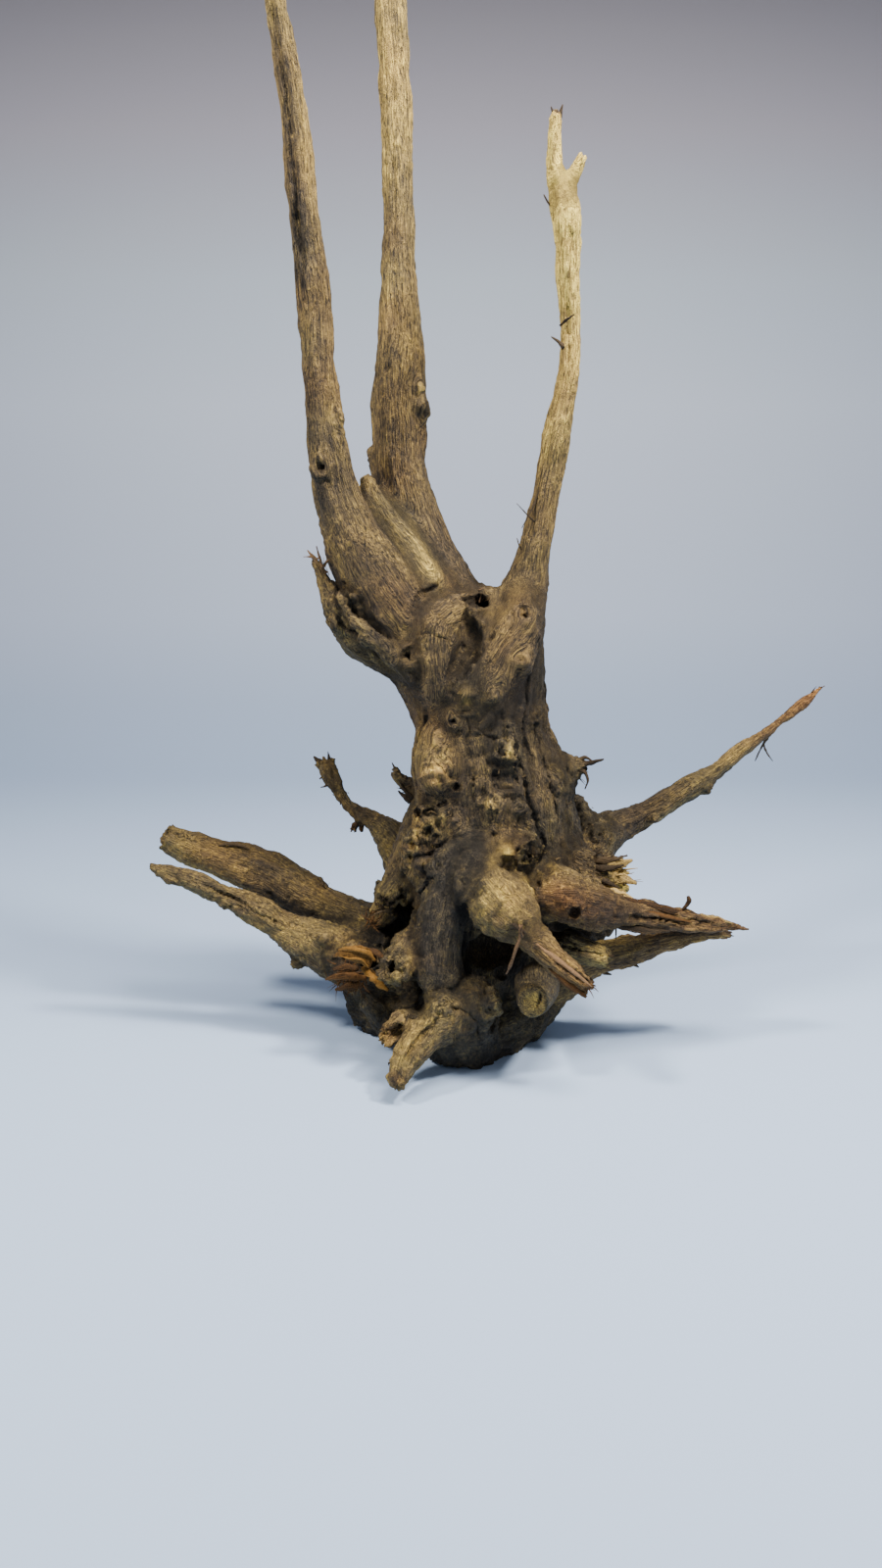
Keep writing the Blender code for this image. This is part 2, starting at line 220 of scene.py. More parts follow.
        (34, 180, 11, 11), (37, 150, 36, 16), (33, 110, 66, 22), (20, 60, 84, 34), (5, 20, 84, 44)]),
    "back_stub": ("grey", 7, "broken", [
        (-62, 114, 58, 11), (-50, 92, 66, 15), (-34, 60, 74, 24), (-14, 25, 78, 34)]),
    "rear_heel": ("dark", 8, "buried", [(6, 74, 12, 20), (2, 48, 20, 32), (-6, 20, 24, 42)]),
    "rear_flute": ("trunk", 6, "buried", [
        (6, 34, 330, 16), (14, 36, 280, 20), (20, 40, 220, 24), (16, 48, 150, 28), (10, 60, 90, 28)]),
}

# How each kind of end is finished: (how far the break's teeth reach, and their width), both in mm.
ENDS = {
    "sawn": (0.6, 5.0), "broken": (6.0, 4.5), "frayed": (9.0, 2.6), "spoon": (3.0, 4.0),
    "jagged": (15.0, 5.0)}

# The well in the middle of each kind of knot: (radius of its mouth, depth) over the knot's radius.
WELLS = {"ring": (0.5, 0.9), "pit": (0.8, 0.9), "hole": (1.0, 3.0), "eye": (0.1, 0.4)}

# Small features that sit on the skin: (kind, x, y, z, radius) in mm from the foot of the trunk's axis.
KNOTS = [
    ("ring", -117, -39, 455, 4.6), ("pit", -104, -36, 478, 2.4), ("pit", -71, 17, 531, 2.0),
    ("pit", -73, 15, 511, 1.8), ("knob", -42, 20, 503, 8.5), ("knob", -84, 24, 466, 6.5),
    ("knob", -98, -36, 492, 4.5), ("knob", -40, 12, 520, 5.0), ("ring", 32, -34, 343, 4.6),
    ("pit", 14, -38, 325, 3.0), ("knob", 27, -40, 314, 6.0), ("pit", 27, -44, 315, 2.0),
    ("ring", -57, -37, 314, 5.4), ("knob", -52, -34, 302, 7.0), ("knob", -97, -42, 357, 5.0),
    ("knob", -112, -38, 340, 5.0), ("knob", -84, -40, 330, 5.0), ("ring", -20, -44, 267, 3.4),
    ("pit", -30, -44, 255, 3.0), ("hole", -17, -48, 217, 3.2), ("knob", 22, -52, 241, 8.5),
    ("knob", -36, -44, 222, 9.0), ("ring", -40, -46, 182, 4.4), ("knob", 38, -60, 169, 11.0),
    ("eye", 39, -68, 170, 8.5), ("knob", 18, -62, 168, 8.5), ("ring", 70, -78, 129, 4.8),
    ("ring", 104, 40, 152, 5.0), ("pit", -60, -108, 46, 4.0), ("pit", -249, 22, 160, 3.0),
    ("knob", -20, -60, 192, 6.0), ("knob", 8, -60, 205, 7.0), ("pit", 28, -58, 204, 3.0),
    ("ring", 8, -104, 56, 4.2), ("knob", -30, -104, 60, 6.5), ("ring", -62, -92, 84, 4.0),
    ("knob", -12, -50, 288, 5.0), ("knob", 10, -48, 290, 5.0), ("knob", -50, -46, 160, 7.0),
    ("knob", -46, -54, 136, 7.0), ("knob", -66, -32, 128, 6.0), ("knob", -76, -40, 92, 5.0),
    ("pit", -52, -60, 118, 3.2), ("knob", 48, -36, 268, 4.0), ("knob", 60, -30, 218, 6.0),
    ("pit", 44, -52, 194, 2.6), ("knob", -178, 14, 118, 5.0), ("knob", -206, -22, 112, 4.0),
    ("knob", -124, -34, 86, 5.5), ("pit", -150, -30, 100, 2.4), ("knob", 208, 84, 186, 4.5),
    ("knob", 158, 64, 162, 5.0), ("ring", 30, 52, 240, 5.0), ("knob", -10, 62, 180, 9.0),
    ("pit", 4, 74, 130, 4.0), ("ring", -52, -50, 172, 4.0), ("ring", -34, -56, 178, 3.5),
    ("knob", -58, -46, 150, 5.0), ("ring", -40, -58, 150, 4.5), ("knob", -28, -60, 160, 4.5),
    ("ring", -47, -44, 196, 3.5), ("ring", -66, -44, 116, 4.0), ("knob", 27, -46, 200, 5.0),
    ("pit", 12, -56, 182, 2.4), ("knob", -34, -52, 256, 5.0), ("pit", 34, -50, 218, 2.2),
    ("ring", 88, -58, 146, 4.0), ("ring", 60, 40, 190, 5.0), ("knob", 40, 56, 150, 8.0),
    ("knob", -30, 50, 250, 7.0),
]

# Hollows: (radius at the mouth, radius inside, points from the mouth inwards) in mm.
HOLLOWS = {
    "front_cavity": (13, 16, [(2, -116, 91), (4, -90, 89), (8, -50, 86)]),
    "front_cavity_right": (9, 13, [(24, -108, 86), (24, -84, 84), (22, -50, 86)]),
    "front_slit": (5, 6, [(22, -100, 62), (21, -78, 60), (20, -52, 66)]),
    "left_cavity": (11, 13, [(-48, -118, 61), (-52, -88, 61), (-54, -54, 60)]),
    "under_bulb": (6, 8, [(60, -92, 106), (62, -60, 106), (66, -24, 108)]),
    "under_bulb_right": (5, 8, [(100, -84, 104), (96, -54, 102), (88, -20, 102)]),
    "torn_root_hole": (8.5, 7, [(-97, -78, 80), (-92, -58, 78), (-84, -34, 72)]),
    "shoulder_cavity": (9, 9, [(-64, -62, 108), (-60, -42, 108), (-50, -20, 110)]),
    "shoulder_pocket": (7, 7, [(-74, -58, 94), (-68, -40, 92), (-58, -20, 92)]),
    "shoulder_slot": (4, 5, [(-80, -34, 118), (-68, -28, 116), (-56, -16, 114)]),
    "saddle_hollow": (2.4, 4.6, [(-16, -42, 364), (-8, -34, 358), (2, -24, 355), (6, -8, 352)]),
    "saddle_hollow_left": (2.0, 3, [(-20, -38, 352), (-10, -32, 356), (0, -20, 357)]),
    "saddle_hollow_right": (2.6, 3, [(7, -40, 362), (3, -24, 358), (0, -8, 354)]),
    "eye_slit": (3.2, 3.2, [(20, -75, 158), (33, -79, 155), (47, -73, 155)]),
    "foot_stub_hollow": (5.5, 4.5, [(-82, -124, 40), (-66, -110, 42), (-54, -98, 46)]),
    "gnarl_hole": (4.5, 5, [(-68, -108, 88), (-66, -94, 86), (-60, -78, 86)]),
    "gnarl_hole_low": (3.4, 4, [(-58, -110, 76), (-58, -96, 76), (-56, -80, 78)]),
    "low_slit": (4, 4, [(10, -98, 34), (8, -82, 36), (6, -66, 36)]),
    "root_tip_hollow": (6, 4, [(-272, 26, 158), (-258, 26, 153), (-246, 27, 149)]),
    "spoon_hollow": (3.4, 3.4, [(-270, -22, 146), (-256, -20, 141), (-244, -19, 135)]),
    "rear_hollow": (11, 8, [(20, 110, 112), (14, 84, 112), (8, 56, 114)]),
}

# Cracks along the skin: (width, depth, points) in mm.
CRACKS = {
    "spur_groove": (7.0, 8.0, [(-108, -44, 372), (-97, -42, 356), (-84, -42, 342), (-70, -42, 330)]),
    "spur_ridge_crack": (3.0, 6.0, [(-108, -44, 348), (-97, -42, 332), (-84, -42, 316)]),
    "left_stem_groove": (5.0, 2.0, [
        (-141, -48, 735), (-136, -48, 700), (-133, -46, 660), (-129, -43, 610), (-126, -42, 566)]),
    "middle_stem_groove": (2.4, 0.8, [(-70, 30, 800), (-66, 28, 730), (-66, 24, 660), (-66, 20, 600)]),
    "right_stem_groove": (2.4, 0.9, [(62, -38, 620), (60, -36, 580), (62, -35, 540), (60, -32, 500)]),
    "left_stem_edge": (3.0, 1.0, [(-152, -50, 800), (-146, -50, 770), (-142, -48, 738)]),
    "crown_arc": (5.0, 2.6, [(-52, -40, 350), (-44, -38, 363), (-30, -36, 372)]),
    "crown_valley": (14.0, 2.6, [(0, -40, 354), (-5, -44, 338), (-10, -46, 320), (-22, -46, 300)]),
    "crown_wrinkle": (1.8, 0.8, [(-46, -40, 342), (-36, -46, 348), (-24, -46, 346), (-14, -44, 338)]),
    "crown_wrinkle_low": (1.8, 0.8, [(-50, -40, 330), (-38, -48, 334), (-26, -48, 330), (-18, -46, 320)]),
    "crown_wrinkle_right": (2.4, 0.9, [(24, -44, 336), (16, -48, 322), (4, -50, 306), (-4, -50, 292)]),
    "edge_fissure": (3.4, 2.6, [(38, -36, 330), (38, -38, 296), (36, -42, 262), (42, -40, 234)]),
    "edge_fissure_low": (3.4, 3.0, [(46, -34, 262), (52, -32, 236), (58, -34, 205), (66, -36, 180)]),
    "edge_fissure_side": (3.0, 2.4, [(46, -20, 336), (47, -18, 300), (50, -18, 262), (60, -14, 232)]),
    "left_fold": (4.0, 5.0, [(-40, -30, 276), (-44, -28, 250), (-43, -28, 232), (-46, -30, 212)]),
    "knob_shadow": (2.4, 0.6, [(12, -58, 231), (20, -58, 233), (28, -54, 233)]),
    "trunk_wrinkle": (1.6, 0.5, [(-8, -52, 262), (4, -52, 258), (18, -50, 256)]),
    "trunk_scratch": (1.2, 0.5, [(-20, -50, 272), (-6, -52, 270), (10, -50, 274)]),
    "trunk_seam": (1.4, 1.4, [(-6, -50, 284), (-10, -53, 250), (-4, -56, 214), (-8, -58, 186)]),
    "trunk_seam_right": (1.4, 1.2, [(20, -50, 286), (18, -54, 256), (10, -58, 216), (10, -60, 190)]),
    "trunk_flute": (4.0, 2.0, [(30, -54, 262), (36, -54, 226), (46, -54, 192), (58, -54, 166)]),
    "bulb_ridge_valley": (6.0, 4.0, [(-12, -84, 134), (-13, -88, 120), (-10, -90, 108)]),
    "crust_crack": (3.4, 4.0, [(-28, -54, 206), (-40, -46, 196), (-54, -36, 190)]),
    "crust_crack_low": (3.4, 4.0, [(-24, -58, 178), (-38, -54, 164), (-56, -44, 158)]),
    "crust_crack_lower": (5.0, 7.0, [(-34, -66, 150), (-44, -58, 134), (-58, -48, 124), (-72, -36, 118)]),
    "low_root_crack": (3.0, 4.0, [(-222, -20, 130), (-190, -24, 116), (-160, -32, 100)]),
    "root_gap": (5.0, 8.0, [(-170, -6, 116), (-146, -10, 100), (-124, -14, 92)]),
    "bulb_seam": (4.0, 7.0, [(43, -72, 154), (46, -84, 138), (46, -90, 116)]),
    "red_root_split": (3.4, 5.0, [(184, -48, 107), (150, -58, 112), (118, -66, 118)]),
    "torn_root_split": (4.0, 5.0, [(80, -134, 88), (66, -130, 97), (54, -126, 105), (44, -120, 112)]),
    "knee_crack": (3.4, 5.0, [(-22, -112, 70), (-4, -108, 52), (2, -98, 30)]),
    "foot_ridge_crack": (4.0, 4.0, [(-54, -138, 36), (-42, -126, 48), (-30, -112, 58)]),
    "pale_stub_crack": (3.0, 5.0, [(102, -76, 88), (84, -74, 92), (66, -66, 96)]),
    "rear_crack": (4.0, 7.0, [(-14, 52, 300), (-10, 54, 260), (-8, 58, 210), (-12, 66, 170)]),
    "rear_crack_right": (4.0, 6.0, [(36, 40, 280), (42, 42, 240), (52, 44, 200)]),
    "cut_check": (2.6, 5.0, [(43, -112, 74), (43, -113, 68), (41, -112, 62)]),
}

# Patches of another colour: (x, y, z, radius, added tone, added redness, length along the grain over
# width), in mm from the foot of the trunk's axis. One of them is a painted highlight on the front bulb.
PATCHES = [
    (-52, -8, 412, 5, 0.36, -0.10, 3.4), (-47, -16, 398, 5, 0.50, -0.10, 3.4),
    (-38, -28, 380, 6, 0.46, -0.10, 2.4), (-44, -18, 408, 5, -0.16, 0, 4), (-36, -20, 396, 4, -0.18, 0, 4),
    (-30, -14, 392, 7, -0.14, 0, 3), (-12, -47, 289, 4, 0.30, 0, 1.6), (9, -47, 290, 4, 0.28, 0, 1.6),
    (-9, -48, 282, 3, 0.3, 0, 1.2), (-20, -38, 345, 16, 0.08, 0, 1.2), (-52, -36, 345, 9, -0.16, 0, 2),
    (-118, -38, 440, 8, -0.16, 0, 2.6), (-112, -36, 480, 13, -0.06, 0, 2.5),
    (-137, -48, 712, 5, -0.20, 0, 8), (-131, -45, 650, 5, -0.30, 0, 9), (-128, -44, 596, 5, -0.24, 0, 8),
    (-62, -36, 313, 9, 0.14, 0, 1), (-45, -34, 298, 10, -0.16, 0, 1.4), (32, -46, 300, 14, -0.08, 0, 2.5),
    (26, -42, 316, 8, 0.22, 0.05, 1), (36, -30, 345, 9, -0.12, 0, 1.2),
    (-30, -44, 238, 15, 0.16, 0.12, 1.2), (-36, -44, 222, 9, 0.18, 0.20, 1.2),
    (22, -54, 245, 6, 0.24, 0.05, 1), (8, -62, 206, 9, 0.24, 0, 1.8), (30, -58, 203, 10, -0.08, 0, 1.4),
    (38, -62, 172, 10, 0.10, 0.20, 1), (19, -66, 168, 9, 0.40, 0, 1), (-46, -44, 176, 14, 0.12, 0.25, 1),
    # The pale patch at (16, -108, 146), on the upper front of the front bulb, is a painted highlight where
    # the light falls on the bulb's top.
    (-20, -60, 192, 10, 0.12, 0.10, 1), (40, -76, 152, 9, 0.30, 0, 2.2), (16, -108, 146, 14, 0.16, 0, 1.2),
    (4, -100, 132, 10, 0.08, 0, 1.2), (62, -82, 136, 15, -0.08, 0.55, 1.4),
    (86, -76, 126, 16, -0.10, 0.30, 1.4), (-26, -80, 110, 20, -0.08, 0, 2.4),
    (-40, -70, 140, 9, 0.16, 0, 2.4), (-60, -84, 84, 12, 0.06, 0, 1.2), (-183, 2, 132, 9, -0.20, 0, 1.6),
    (-196, 8, 132, 9, 0.16, 0.05, 1.4), (-220, 16, 140, 20, 0.06, 0.10, 1.6),
    (-160, 2, 112, 16, -0.06, 0, 2), (-140, -30, 92, 20, 0.08, 0.05, 1.8),
    (-110, -40, 88, 10, 0.16, 0, 1.4), (-60, -128, 30, 10, 0.14, 0.05, 1.4),
    (-50, -122, 42, 10, 0.12, 0, 1.8), (-76, -114, 36, 6, 0.34, 0, 1), (-30, -104, 60, 8, 0.24, 0, 1.2),
    (-22, -104, 56, 8, 0.16, 0.1, 1.2), (39, -112, 67, 9, 0.50, -0.10, 1),
    (128, 66, 156, 18, -0.12, 0.06, 1.4), (104, 40, 150, 12, 0.20, 0, 1.2),
    (112, -16, 128, 12, 0.16, 0.05, 1), (302, 112, 265, 18, -0.14, 0.50, 3),
    (238, 96, 217, 7, 0.12, -0.1, 2), (262, 104, 236, 6, -0.16, 0, 2), (96, -66, 88, 9, 0.20, 0, 1.4),
    (60, -52, 92, 12, 0.12, 0, 1.4), (114, -22, 128, 12, 0.26, 0, 1.4),
    (100, -14, 152, 9, -0.14, 0.05, 1.4), (20, -70, 170, 7, 0.30, 0, 1), (-56, -46, 160, 9, 0.16, 0.20, 1),
    (-30, -56, 184, 7, 0.20, 0.1, 1), (-48, -48, 146, 7, 0.22, 0.2, 1), (-34, -50, 196, 8, -0.06, 0, 1),
    (-52, -40, 204, 8, 0.10, 0.1, 1), (6, -44, 366, 8, -0.06, 0.4, 1), (-20, -32, 374, 8, 0, 0.3, 1.6),
    (-10, -48, 300, 14, -0.06, 0, 1.2), (-34, -40, 268, 12, -0.06, 0, 1.4),
    (44, -40, 240, 10, 0.10, 0.1, 2), (56, -36, 200, 10, 0.08, 0.05, 2), (-4, -58, 176, 8, -0.10, 0, 1.6),
    (-16, -64, 160, 8, -0.10, 0, 1.6), (51, -31, 694, 6, -0.80, 0.2, 1), (-84, -44, 106, 12, -0.10, 0.5, 1),
    (-100, -58, 70, 12, -0.06, 0.6, 1),
]

# Rough, crumbly patches: (x, y, z, radius, roughness from 0 to 1), in mm from the trunk's foot.
CRUSTS = [
    (-44, -44, 186, 22, 1.0), (-42, -48, 160, 20, 0.9), (-26, -58, 200, 16, 0.7), (-30, -48, 232, 12, 0.5),
    (22, -52, 240, 12, 0.45), (26, -56, 212, 16, 0.5), (40, -60, 174, 14, 0.6), (19, -64, 168, 10, 0.5),
    (16, -104, 144, 14, 0.4), (4, -100, 130, 12, 0.25), (-104, -34, 96, 14, 0.35), (-62, -48, 122, 20, 0.9),
    (-62, -84, 84, 18, 1.0), (-98, -52, 78, 18, 1.0), (0, -44, 268, 14, 0.22), (32, -36, 345, 10, 0.6),
    (-57, -37, 314, 10, 0.6), (0, -10, 360, 12, 0.9), (-112, -38, 345, 16, 0.6), (96, -10, 140, 26, 0.8),
    (60, -40, 160, 18, 0.5), (-20, -100, 62, 16, 0.6), (6, -98, 62, 14, 0.8), (-60, -138, 24, 14, 0.9),
    (-68, -102, 44, 12, 0.6), (100, -66, 88, 12, 0.7), (124, -20, 78, 18, 0.8), (40, -106, 68, 12, 0.4),
    (-70, -30, 40, 26, 0.5), (104, 44, 152, 14, 0.7), (70, 0, 200, 20, 0.5), (20, 60, 200, 40, 0.4),
    (0, 60, 110, 50, 0.6), (34, 150, 40, 30, 0.5), (-110, 76, 170, 24, 0.5),
]

# Where the grain turns away from its limb: (x, y, z, direction in x, y and z, radius) in mm.
GRAIN_TURNS = [
    (-6, -44, 350, 0.95, 0.0, -0.25, 12), (2, -46, 334, 0.5, 0.0, -0.9, 12),
    (-14, -48, 322, -0.45, 0.0, -0.9, 14), (-34, -46, 352, 0.7, 0.0, 0.7, 10),
    (-44, -44, 330, 0.1, 0.0, 1.0, 12), (-34, -48, 306, 0.3, 0.0, -0.95, 14),
    (20, -48, 322, -0.55, 0.0, -0.85, 18), (4, -50, 298, -0.5, 0.0, -0.87, 18),
    (-6, -52, 272, 0.9, 0.0, 0.1, 14), (-30, -40, 238, 0.8, 0.0, 0.4, 12),
    (20, -54, 228, 0.9, 0.0, 0.1, 12), (-44, -44, 182, 0.8, 0.0, -0.5, 14),
    (14, -108, 140, 0.6, -0.6, -0.4, 18), (-14, -98, 46, 0.4, -0.3, -0.8, 16),
]

# Single torn strips, splinters and rootlets: (kind, thickness over width, waypoints as for limbs).
STRANDS = [
    ("dark", 1.0, [(74, -5, 224, 4), (86, -6, 226, 2.6), (95, -8, 229, 1.5), (101, -9, 231, 0.5)]),
    ("dark", 0.7, [(78, -8, 223, 3), (85, -10, 221, 1.9), (88, -12, 214, 1.3), (86, -12, 207, 0.6)]),
    ("dark", 1.0, [(78, -4, 228, 2.6), (87, -2, 231, 1.3), (94, -1, 227, 0.5)]),
    ("dark", 0.6, [(-58, -4, 211, 4), (-65, -4, 219, 2), (-69, -4, 227, 0.5)]),
    ("dark", 1.0, [(-54, -8, 196, 3), (-60, -8, 201, 1.8), (-64, -9, 205, 0.6)]),
    ("dark", 0.7, [(-52, -10, 199, 2.4), (-60, -11, 208, 1.3), (-63, -12, 214, 0.4)]),
    ("dark", 0.6, [(51, -31, 682, 2.8), (53, -32, 691, 1.7), (55, -33, 698, 0.5)]),
    ("dark", 1.0, [(50, -31, 684, 2.2), (49, -32, 692, 1.2), (47, -32, 697, 0.4)]),
    ("dark", 1.0, [(52, -30, 630, 0.9), (46, -31, 636, 0.7), (43, -31, 641, 0.3)]),
    ("dark", 1.0, [(56, -35, 553, 0.8), (61, -38, 557, 1.0), (66, -39, 560, 0.4)]),
    ("dark", 0.7, [(60, -31, 539, 2.6), (55, -32, 543, 1.4), (50, -33, 546, 0.4)]),
    ("dark", 1.0, [(46, -24, 442, 1.0), (38, -28, 424, 0.6), (31, -30, 411, 0.3)]),
    ("dark", 1.0, [(46, -22, 413, 0.9), (37, -28, 419, 0.6), (31, -30, 425, 0.5), (27, -31, 429, 0.3)]),
    ("dark", 1.0, [(38, -20, 391, 0.9), (31, -22, 396, 0.7), (28, -22, 404, 0.3)]),
    ("dark", 0.6, [(-217, 22, 151, 1.0), (-206, 20, 153, 1.9), (-198, 19, 152, 1.5), (-190, 18, 149, 0.4)]),
    ("dark", 0.7, [(-124, 78, 192, 2.6), (-120, 77, 186, 1.6), (-118, 76, 180, 0.6)]),
    ("dark", 1.0, [(-125, 78, 195, 2.2), (-132, 78, 190, 1.1), (-136, 78, 189, 0.4)]),
    ("dark", 1.0, [(-126, 79, 200, 2.0), (-133, 80, 199, 1.2), (-137, 81, 196, 0.5)]),
    ("dark", 0.6, [(-124, 80, 198, 4), (-133, 82, 208, 3.2), (-140, 83, 214, 1.8), (-142, 83, 216, 0.8)]),
    ("dark", 0.5, [(-123, 80, 198, 3.4), (-127, 80, 210, 2.2), (-129, 80, 221, 0.4)]),
    ("red", 0.7, [(-98, 72, 166, 4), (-103, 72, 159, 3.4), (-109, 72, 152, 1.8)]),
    ("red", 0.8, [(-97, 72, 164, 3.4), (-100, 72, 156, 2.8), (-100, 72, 150, 1.4)]),
    ("dark", 1.0, [(266, 104, 234, 2.0), (260, 107, 220, 1.0), (255, 108, 207, 0.4)]),
    ("dark", 1.0, [(261, 106, 223, 1.0), (265, 108, 215, 0.8), (271, 108, 207, 0.4)]),
    ("curl", 0.3, [
        (-113, -70, 87, 1.0), (-106, -76, 92, 3.2), (-97, -80, 94, 5.4), (-88, -80, 91, 6.6),
        (-84, -75, 84, 5.0), (-86, -68, 77, 1.6)]),
    ("curl", 0.4, [(-109, -72, 93, 0.8), (-98, -82, 98, 1.8), (-87, -83, 96, 2.2), (-80, -76, 86, 1.4)]),
    ("curl", 0.35, [(-90, -72, 79, 2.2), (-84, -79, 76, 3.4), (-77, -83, 71, 3.2), (-70, -85, 65, 1.2)]),
    ("red", 0.35, [(-88, -62, 66, 2.2), (-100, -69, 70, 3.2), (-112, -69, 70, 2.6), (-120, -65, 66, 0.8)]),
    ("red", 0.35, [(-90, -64, 61, 2.2), (-102, -71, 63, 3.0), (-112, -71, 60, 0.8)]),
    ("red", 0.35, [(-94, -62, 74, 1.8), (-106, -67, 77, 2.4), (-114, -67, 75, 0.8)]),
    ("red", 0.5, [(-88, -58, 88, 2.4), (-80, -70, 90, 3.0), (-72, -74, 86, 1.4)]),
    ("twig", 0.5, [(186, -40, 103, 3.2), (200, -40, 101, 2.6), (210, -41, 100, 1.6), (216, -41, 99, 0.6)]),
    ("twig", 0.5, [(182, -31, 92, 4), (194, -31, 91, 3.0), (202, -31, 88, 1.0)]),
    ("pale", 0.5, [(176, -40, 110, 2.0), (190, -42, 108, 2.2), (202, -43, 105, 0.6)]),
    ("red", 0.5, [(112, -54, 128, 3), (134, -54, 123, 3), (158, -50, 116, 2.2), (178, -47, 110, 0.8)]),
    ("dark", 0.5, [(104, -66, 112, 3), (126, -62, 106, 3), (150, -55, 102, 0.8)]),
    ("red", 0.5, [(120, -60, 122, 1.4), (146, -56, 115, 1.6), (172, -50, 107, 0.6)]),
    ("twig", 0.5, [(40, -119, 115, 1.0), (50, -125, 109, 1.6), (64, -131, 100, 1.6), (79, -134, 88, 0.6)]),
    ("red", 0.4, [(42, -114, 104, 1.4), (52, -120, 96, 2.4), (64, -126, 86, 2.6), (76, -129, 78, 1.0)]),
    ("dark", 0.5, [(20, -113, 131, 1.0), (25, -118, 128, 1.6), (32, -119, 123, 0.8)]),
    ("twig", 1.0, [
        (27, -110, 130, 1.0), (28, -122, 124, 1.2), (24, -125, 112, 1.3), (20, -125, 99, 1.2),
        (18, -124, 94, 0.8)]),
    ("twig", 1.0, [(31, -112, 124, 1.0), (29, -122, 122, 1.1), (28, -125, 129, 0.9), (29, -125, 132, 0.4)]),
    ("red", 1.0, [(157, -44, 111, 1.8), (162, -46, 118, 1.4), (166, -46, 124, 1.9), (165, -46, 128, 1.0)]),
    ("twig", 1.0, [(139, -46, 112, 1.0), (140, -47, 104, 1.0), (138, -47, 97, 0.5)]),
    ("twig", 1.0, [(139, -47, 107, 0.7), (143, -48, 103, 0.6), (150, -47, 100, 0.4)]),
    ("dark", 1.0, [(107, -46, 110, 1.0), (109, -47, 101, 0.8), (109, -47, 92, 0.4)]),
    ("twig", 0.6, [(-117, -30, 377, 3), (-123, -31, 386, 1.8), (-130, -31, 395, 0.5)]),
    ("twig", 0.8, [(-119, -31, 382, 2), (-121, -32, 390, 1.1), (-123, -32, 398, 0.4)]),
    ("twig", 0.8, [(-118, -30, 383, 1.6), (-115, -29, 387, 0.9), (-111, -28, 388, 0.4)]),
    ("twig", 0.8, [(-122, -31, 388, 1.4), (-127, -32, 390, 0.8), (-133, -32, 390, 0.3)]),
    ("pale", 0.35, [(104, -26, 136, 5), (116, -30, 138, 4), (127, -32, 134, 1.0)]),
    ("pale", 0.35, [(102, -30, 128, 5), (114, -34, 126, 4), (125, -36, 121, 0.8)]),
    ("pale", 0.35, [(104, -20, 144, 5), (115, -24, 148, 3.4), (124, -26, 152, 0.8)]),
    ("dark", 0.4, [(88, -22, 151, 2.6), (104, -27, 152, 2.6), (119, -30, 157, 0.6)]),
    ("dark", 0.4, [(90, -26, 146, 2.4), (105, -32, 147, 2.2), (116, -34, 150, 0.5)]),
    ("dark", 0.4, [(88, -34, 140, 2.6), (101, -39, 138, 2.2), (112, -41, 133, 0.6)]),
    ("dark", 0.5, [(118, -26, 76, 3), (132, -32, 74, 2.4), (144, -34, 76, 0.7)]),
    ("dark", 0.5, [(108, -20, 68, 3), (124, -26, 66, 2.2), (132, -28, 62, 0.6)]),
    ("dark", 0.5, [(86, -8, 54, 3), (102, -12, 52, 2.0), (112, -14, 50, 0.6)]),
]

# Tufts of torn fibres: (kind, root x, y, z, direction x, y, z, count, length, width, spread of their
# directions, spread of their roots), with lengths in mm.
TUFTS = [
    ("red", -104, -58, 68, -0.6, -0.50, -0.30, 90, 11, 0.8, 0.9, 9),
    ("red", -96, -64, 62, -0.10, -0.80, -0.50, 60, 8, 0.8, 1.0, 8),
    ("red", -84, -42, 108, -0.20, -0.80, 0.35, 26, 11, 1.2, 0.7, 7),
    ("dark", -74, -38, 118, -0.30, -0.60, 0.60, 20, 9, 1.3, 0.7, 7),
    ("dark", -128, 12, 116, 0.10, -0.20, 0.95, 9, 8, 1.4, 0.6, 3),
    ("dark", 97, -14, 148, 0.70, -0.20, 0.60, 26, 12, 1.4, 0.6, 8),
    ("dark", 96, -24, 140, 0.30, -0.60, -0.55, 16, 12, 1.2, 0.4, 7),
    ("pale", 108, -20, 136, 0.90, -0.30, 0.15, 26, 15, 2.0, 0.4, 8),
    ("pale", 104, -28, 128, 0.80, -0.40, -0.25, 16, 14, 1.9, 0.4, 6),
    ("dark", 80, -6, 222, 0.90, -0.20, 0.0, 9, 10, 1.2, 0.6, 4),
    ("dark", 118, -28, 76, 0.85, -0.40, -0.1, 16, 12, 1.6, 0.5, 7),
    ("dark", -124, 78, 194, -0.7, 0.1, -0.5, 8, 8, 1.0, 0.6, 3),
    ("twig", 2, -12, 358, 0.2, -0.5, 0.8, 18, 7, 1.0, 0.8, 8),
    ("dark", 96, -66, 88, 0.8, -0.4, -0.1, 10, 8, 1.6, 0.5, 5),
    ("red", 76, -124, 86, 0.7, -0.4, -0.4, 8, 8, 1.2, 0.4, 3),
    ("red", 200, -40, 102, 1.0, 0.0, -0.1, 7, 9, 1.0, 0.25, 2),
    ("dark", -58, -6, 206, -0.7, -0.3, 0.5, 7, 8, 1.0, 0.5, 4),
    ("twig", -119, -30, 380, -0.4, -0.3, 0.8, 12, 9, 0.8, 0.6, 3),
    ("dark", 50, -31, 686, 0.1, -0.1, 1.0, 8, 6, 0.7, 0.3, 2),
    ("red", 304, 112, 268, 0.75, 0.15, 0.6, 6, 9, 1.0, 0.2, 2),
    ("dark", -54, 112, 60, -0.5, 0.8, 0.1, 14, 9, 1.4, 0.6, 6),
    ("dark", 34, 174, 18, 0.0, 0.9, 0.1, 14, 9, 1.6, 0.6, 8),
    ("dark", 14, 84, 112, 0.0, 0.8, 0.2, 14, 8, 1.2, 0.8, 9),
]


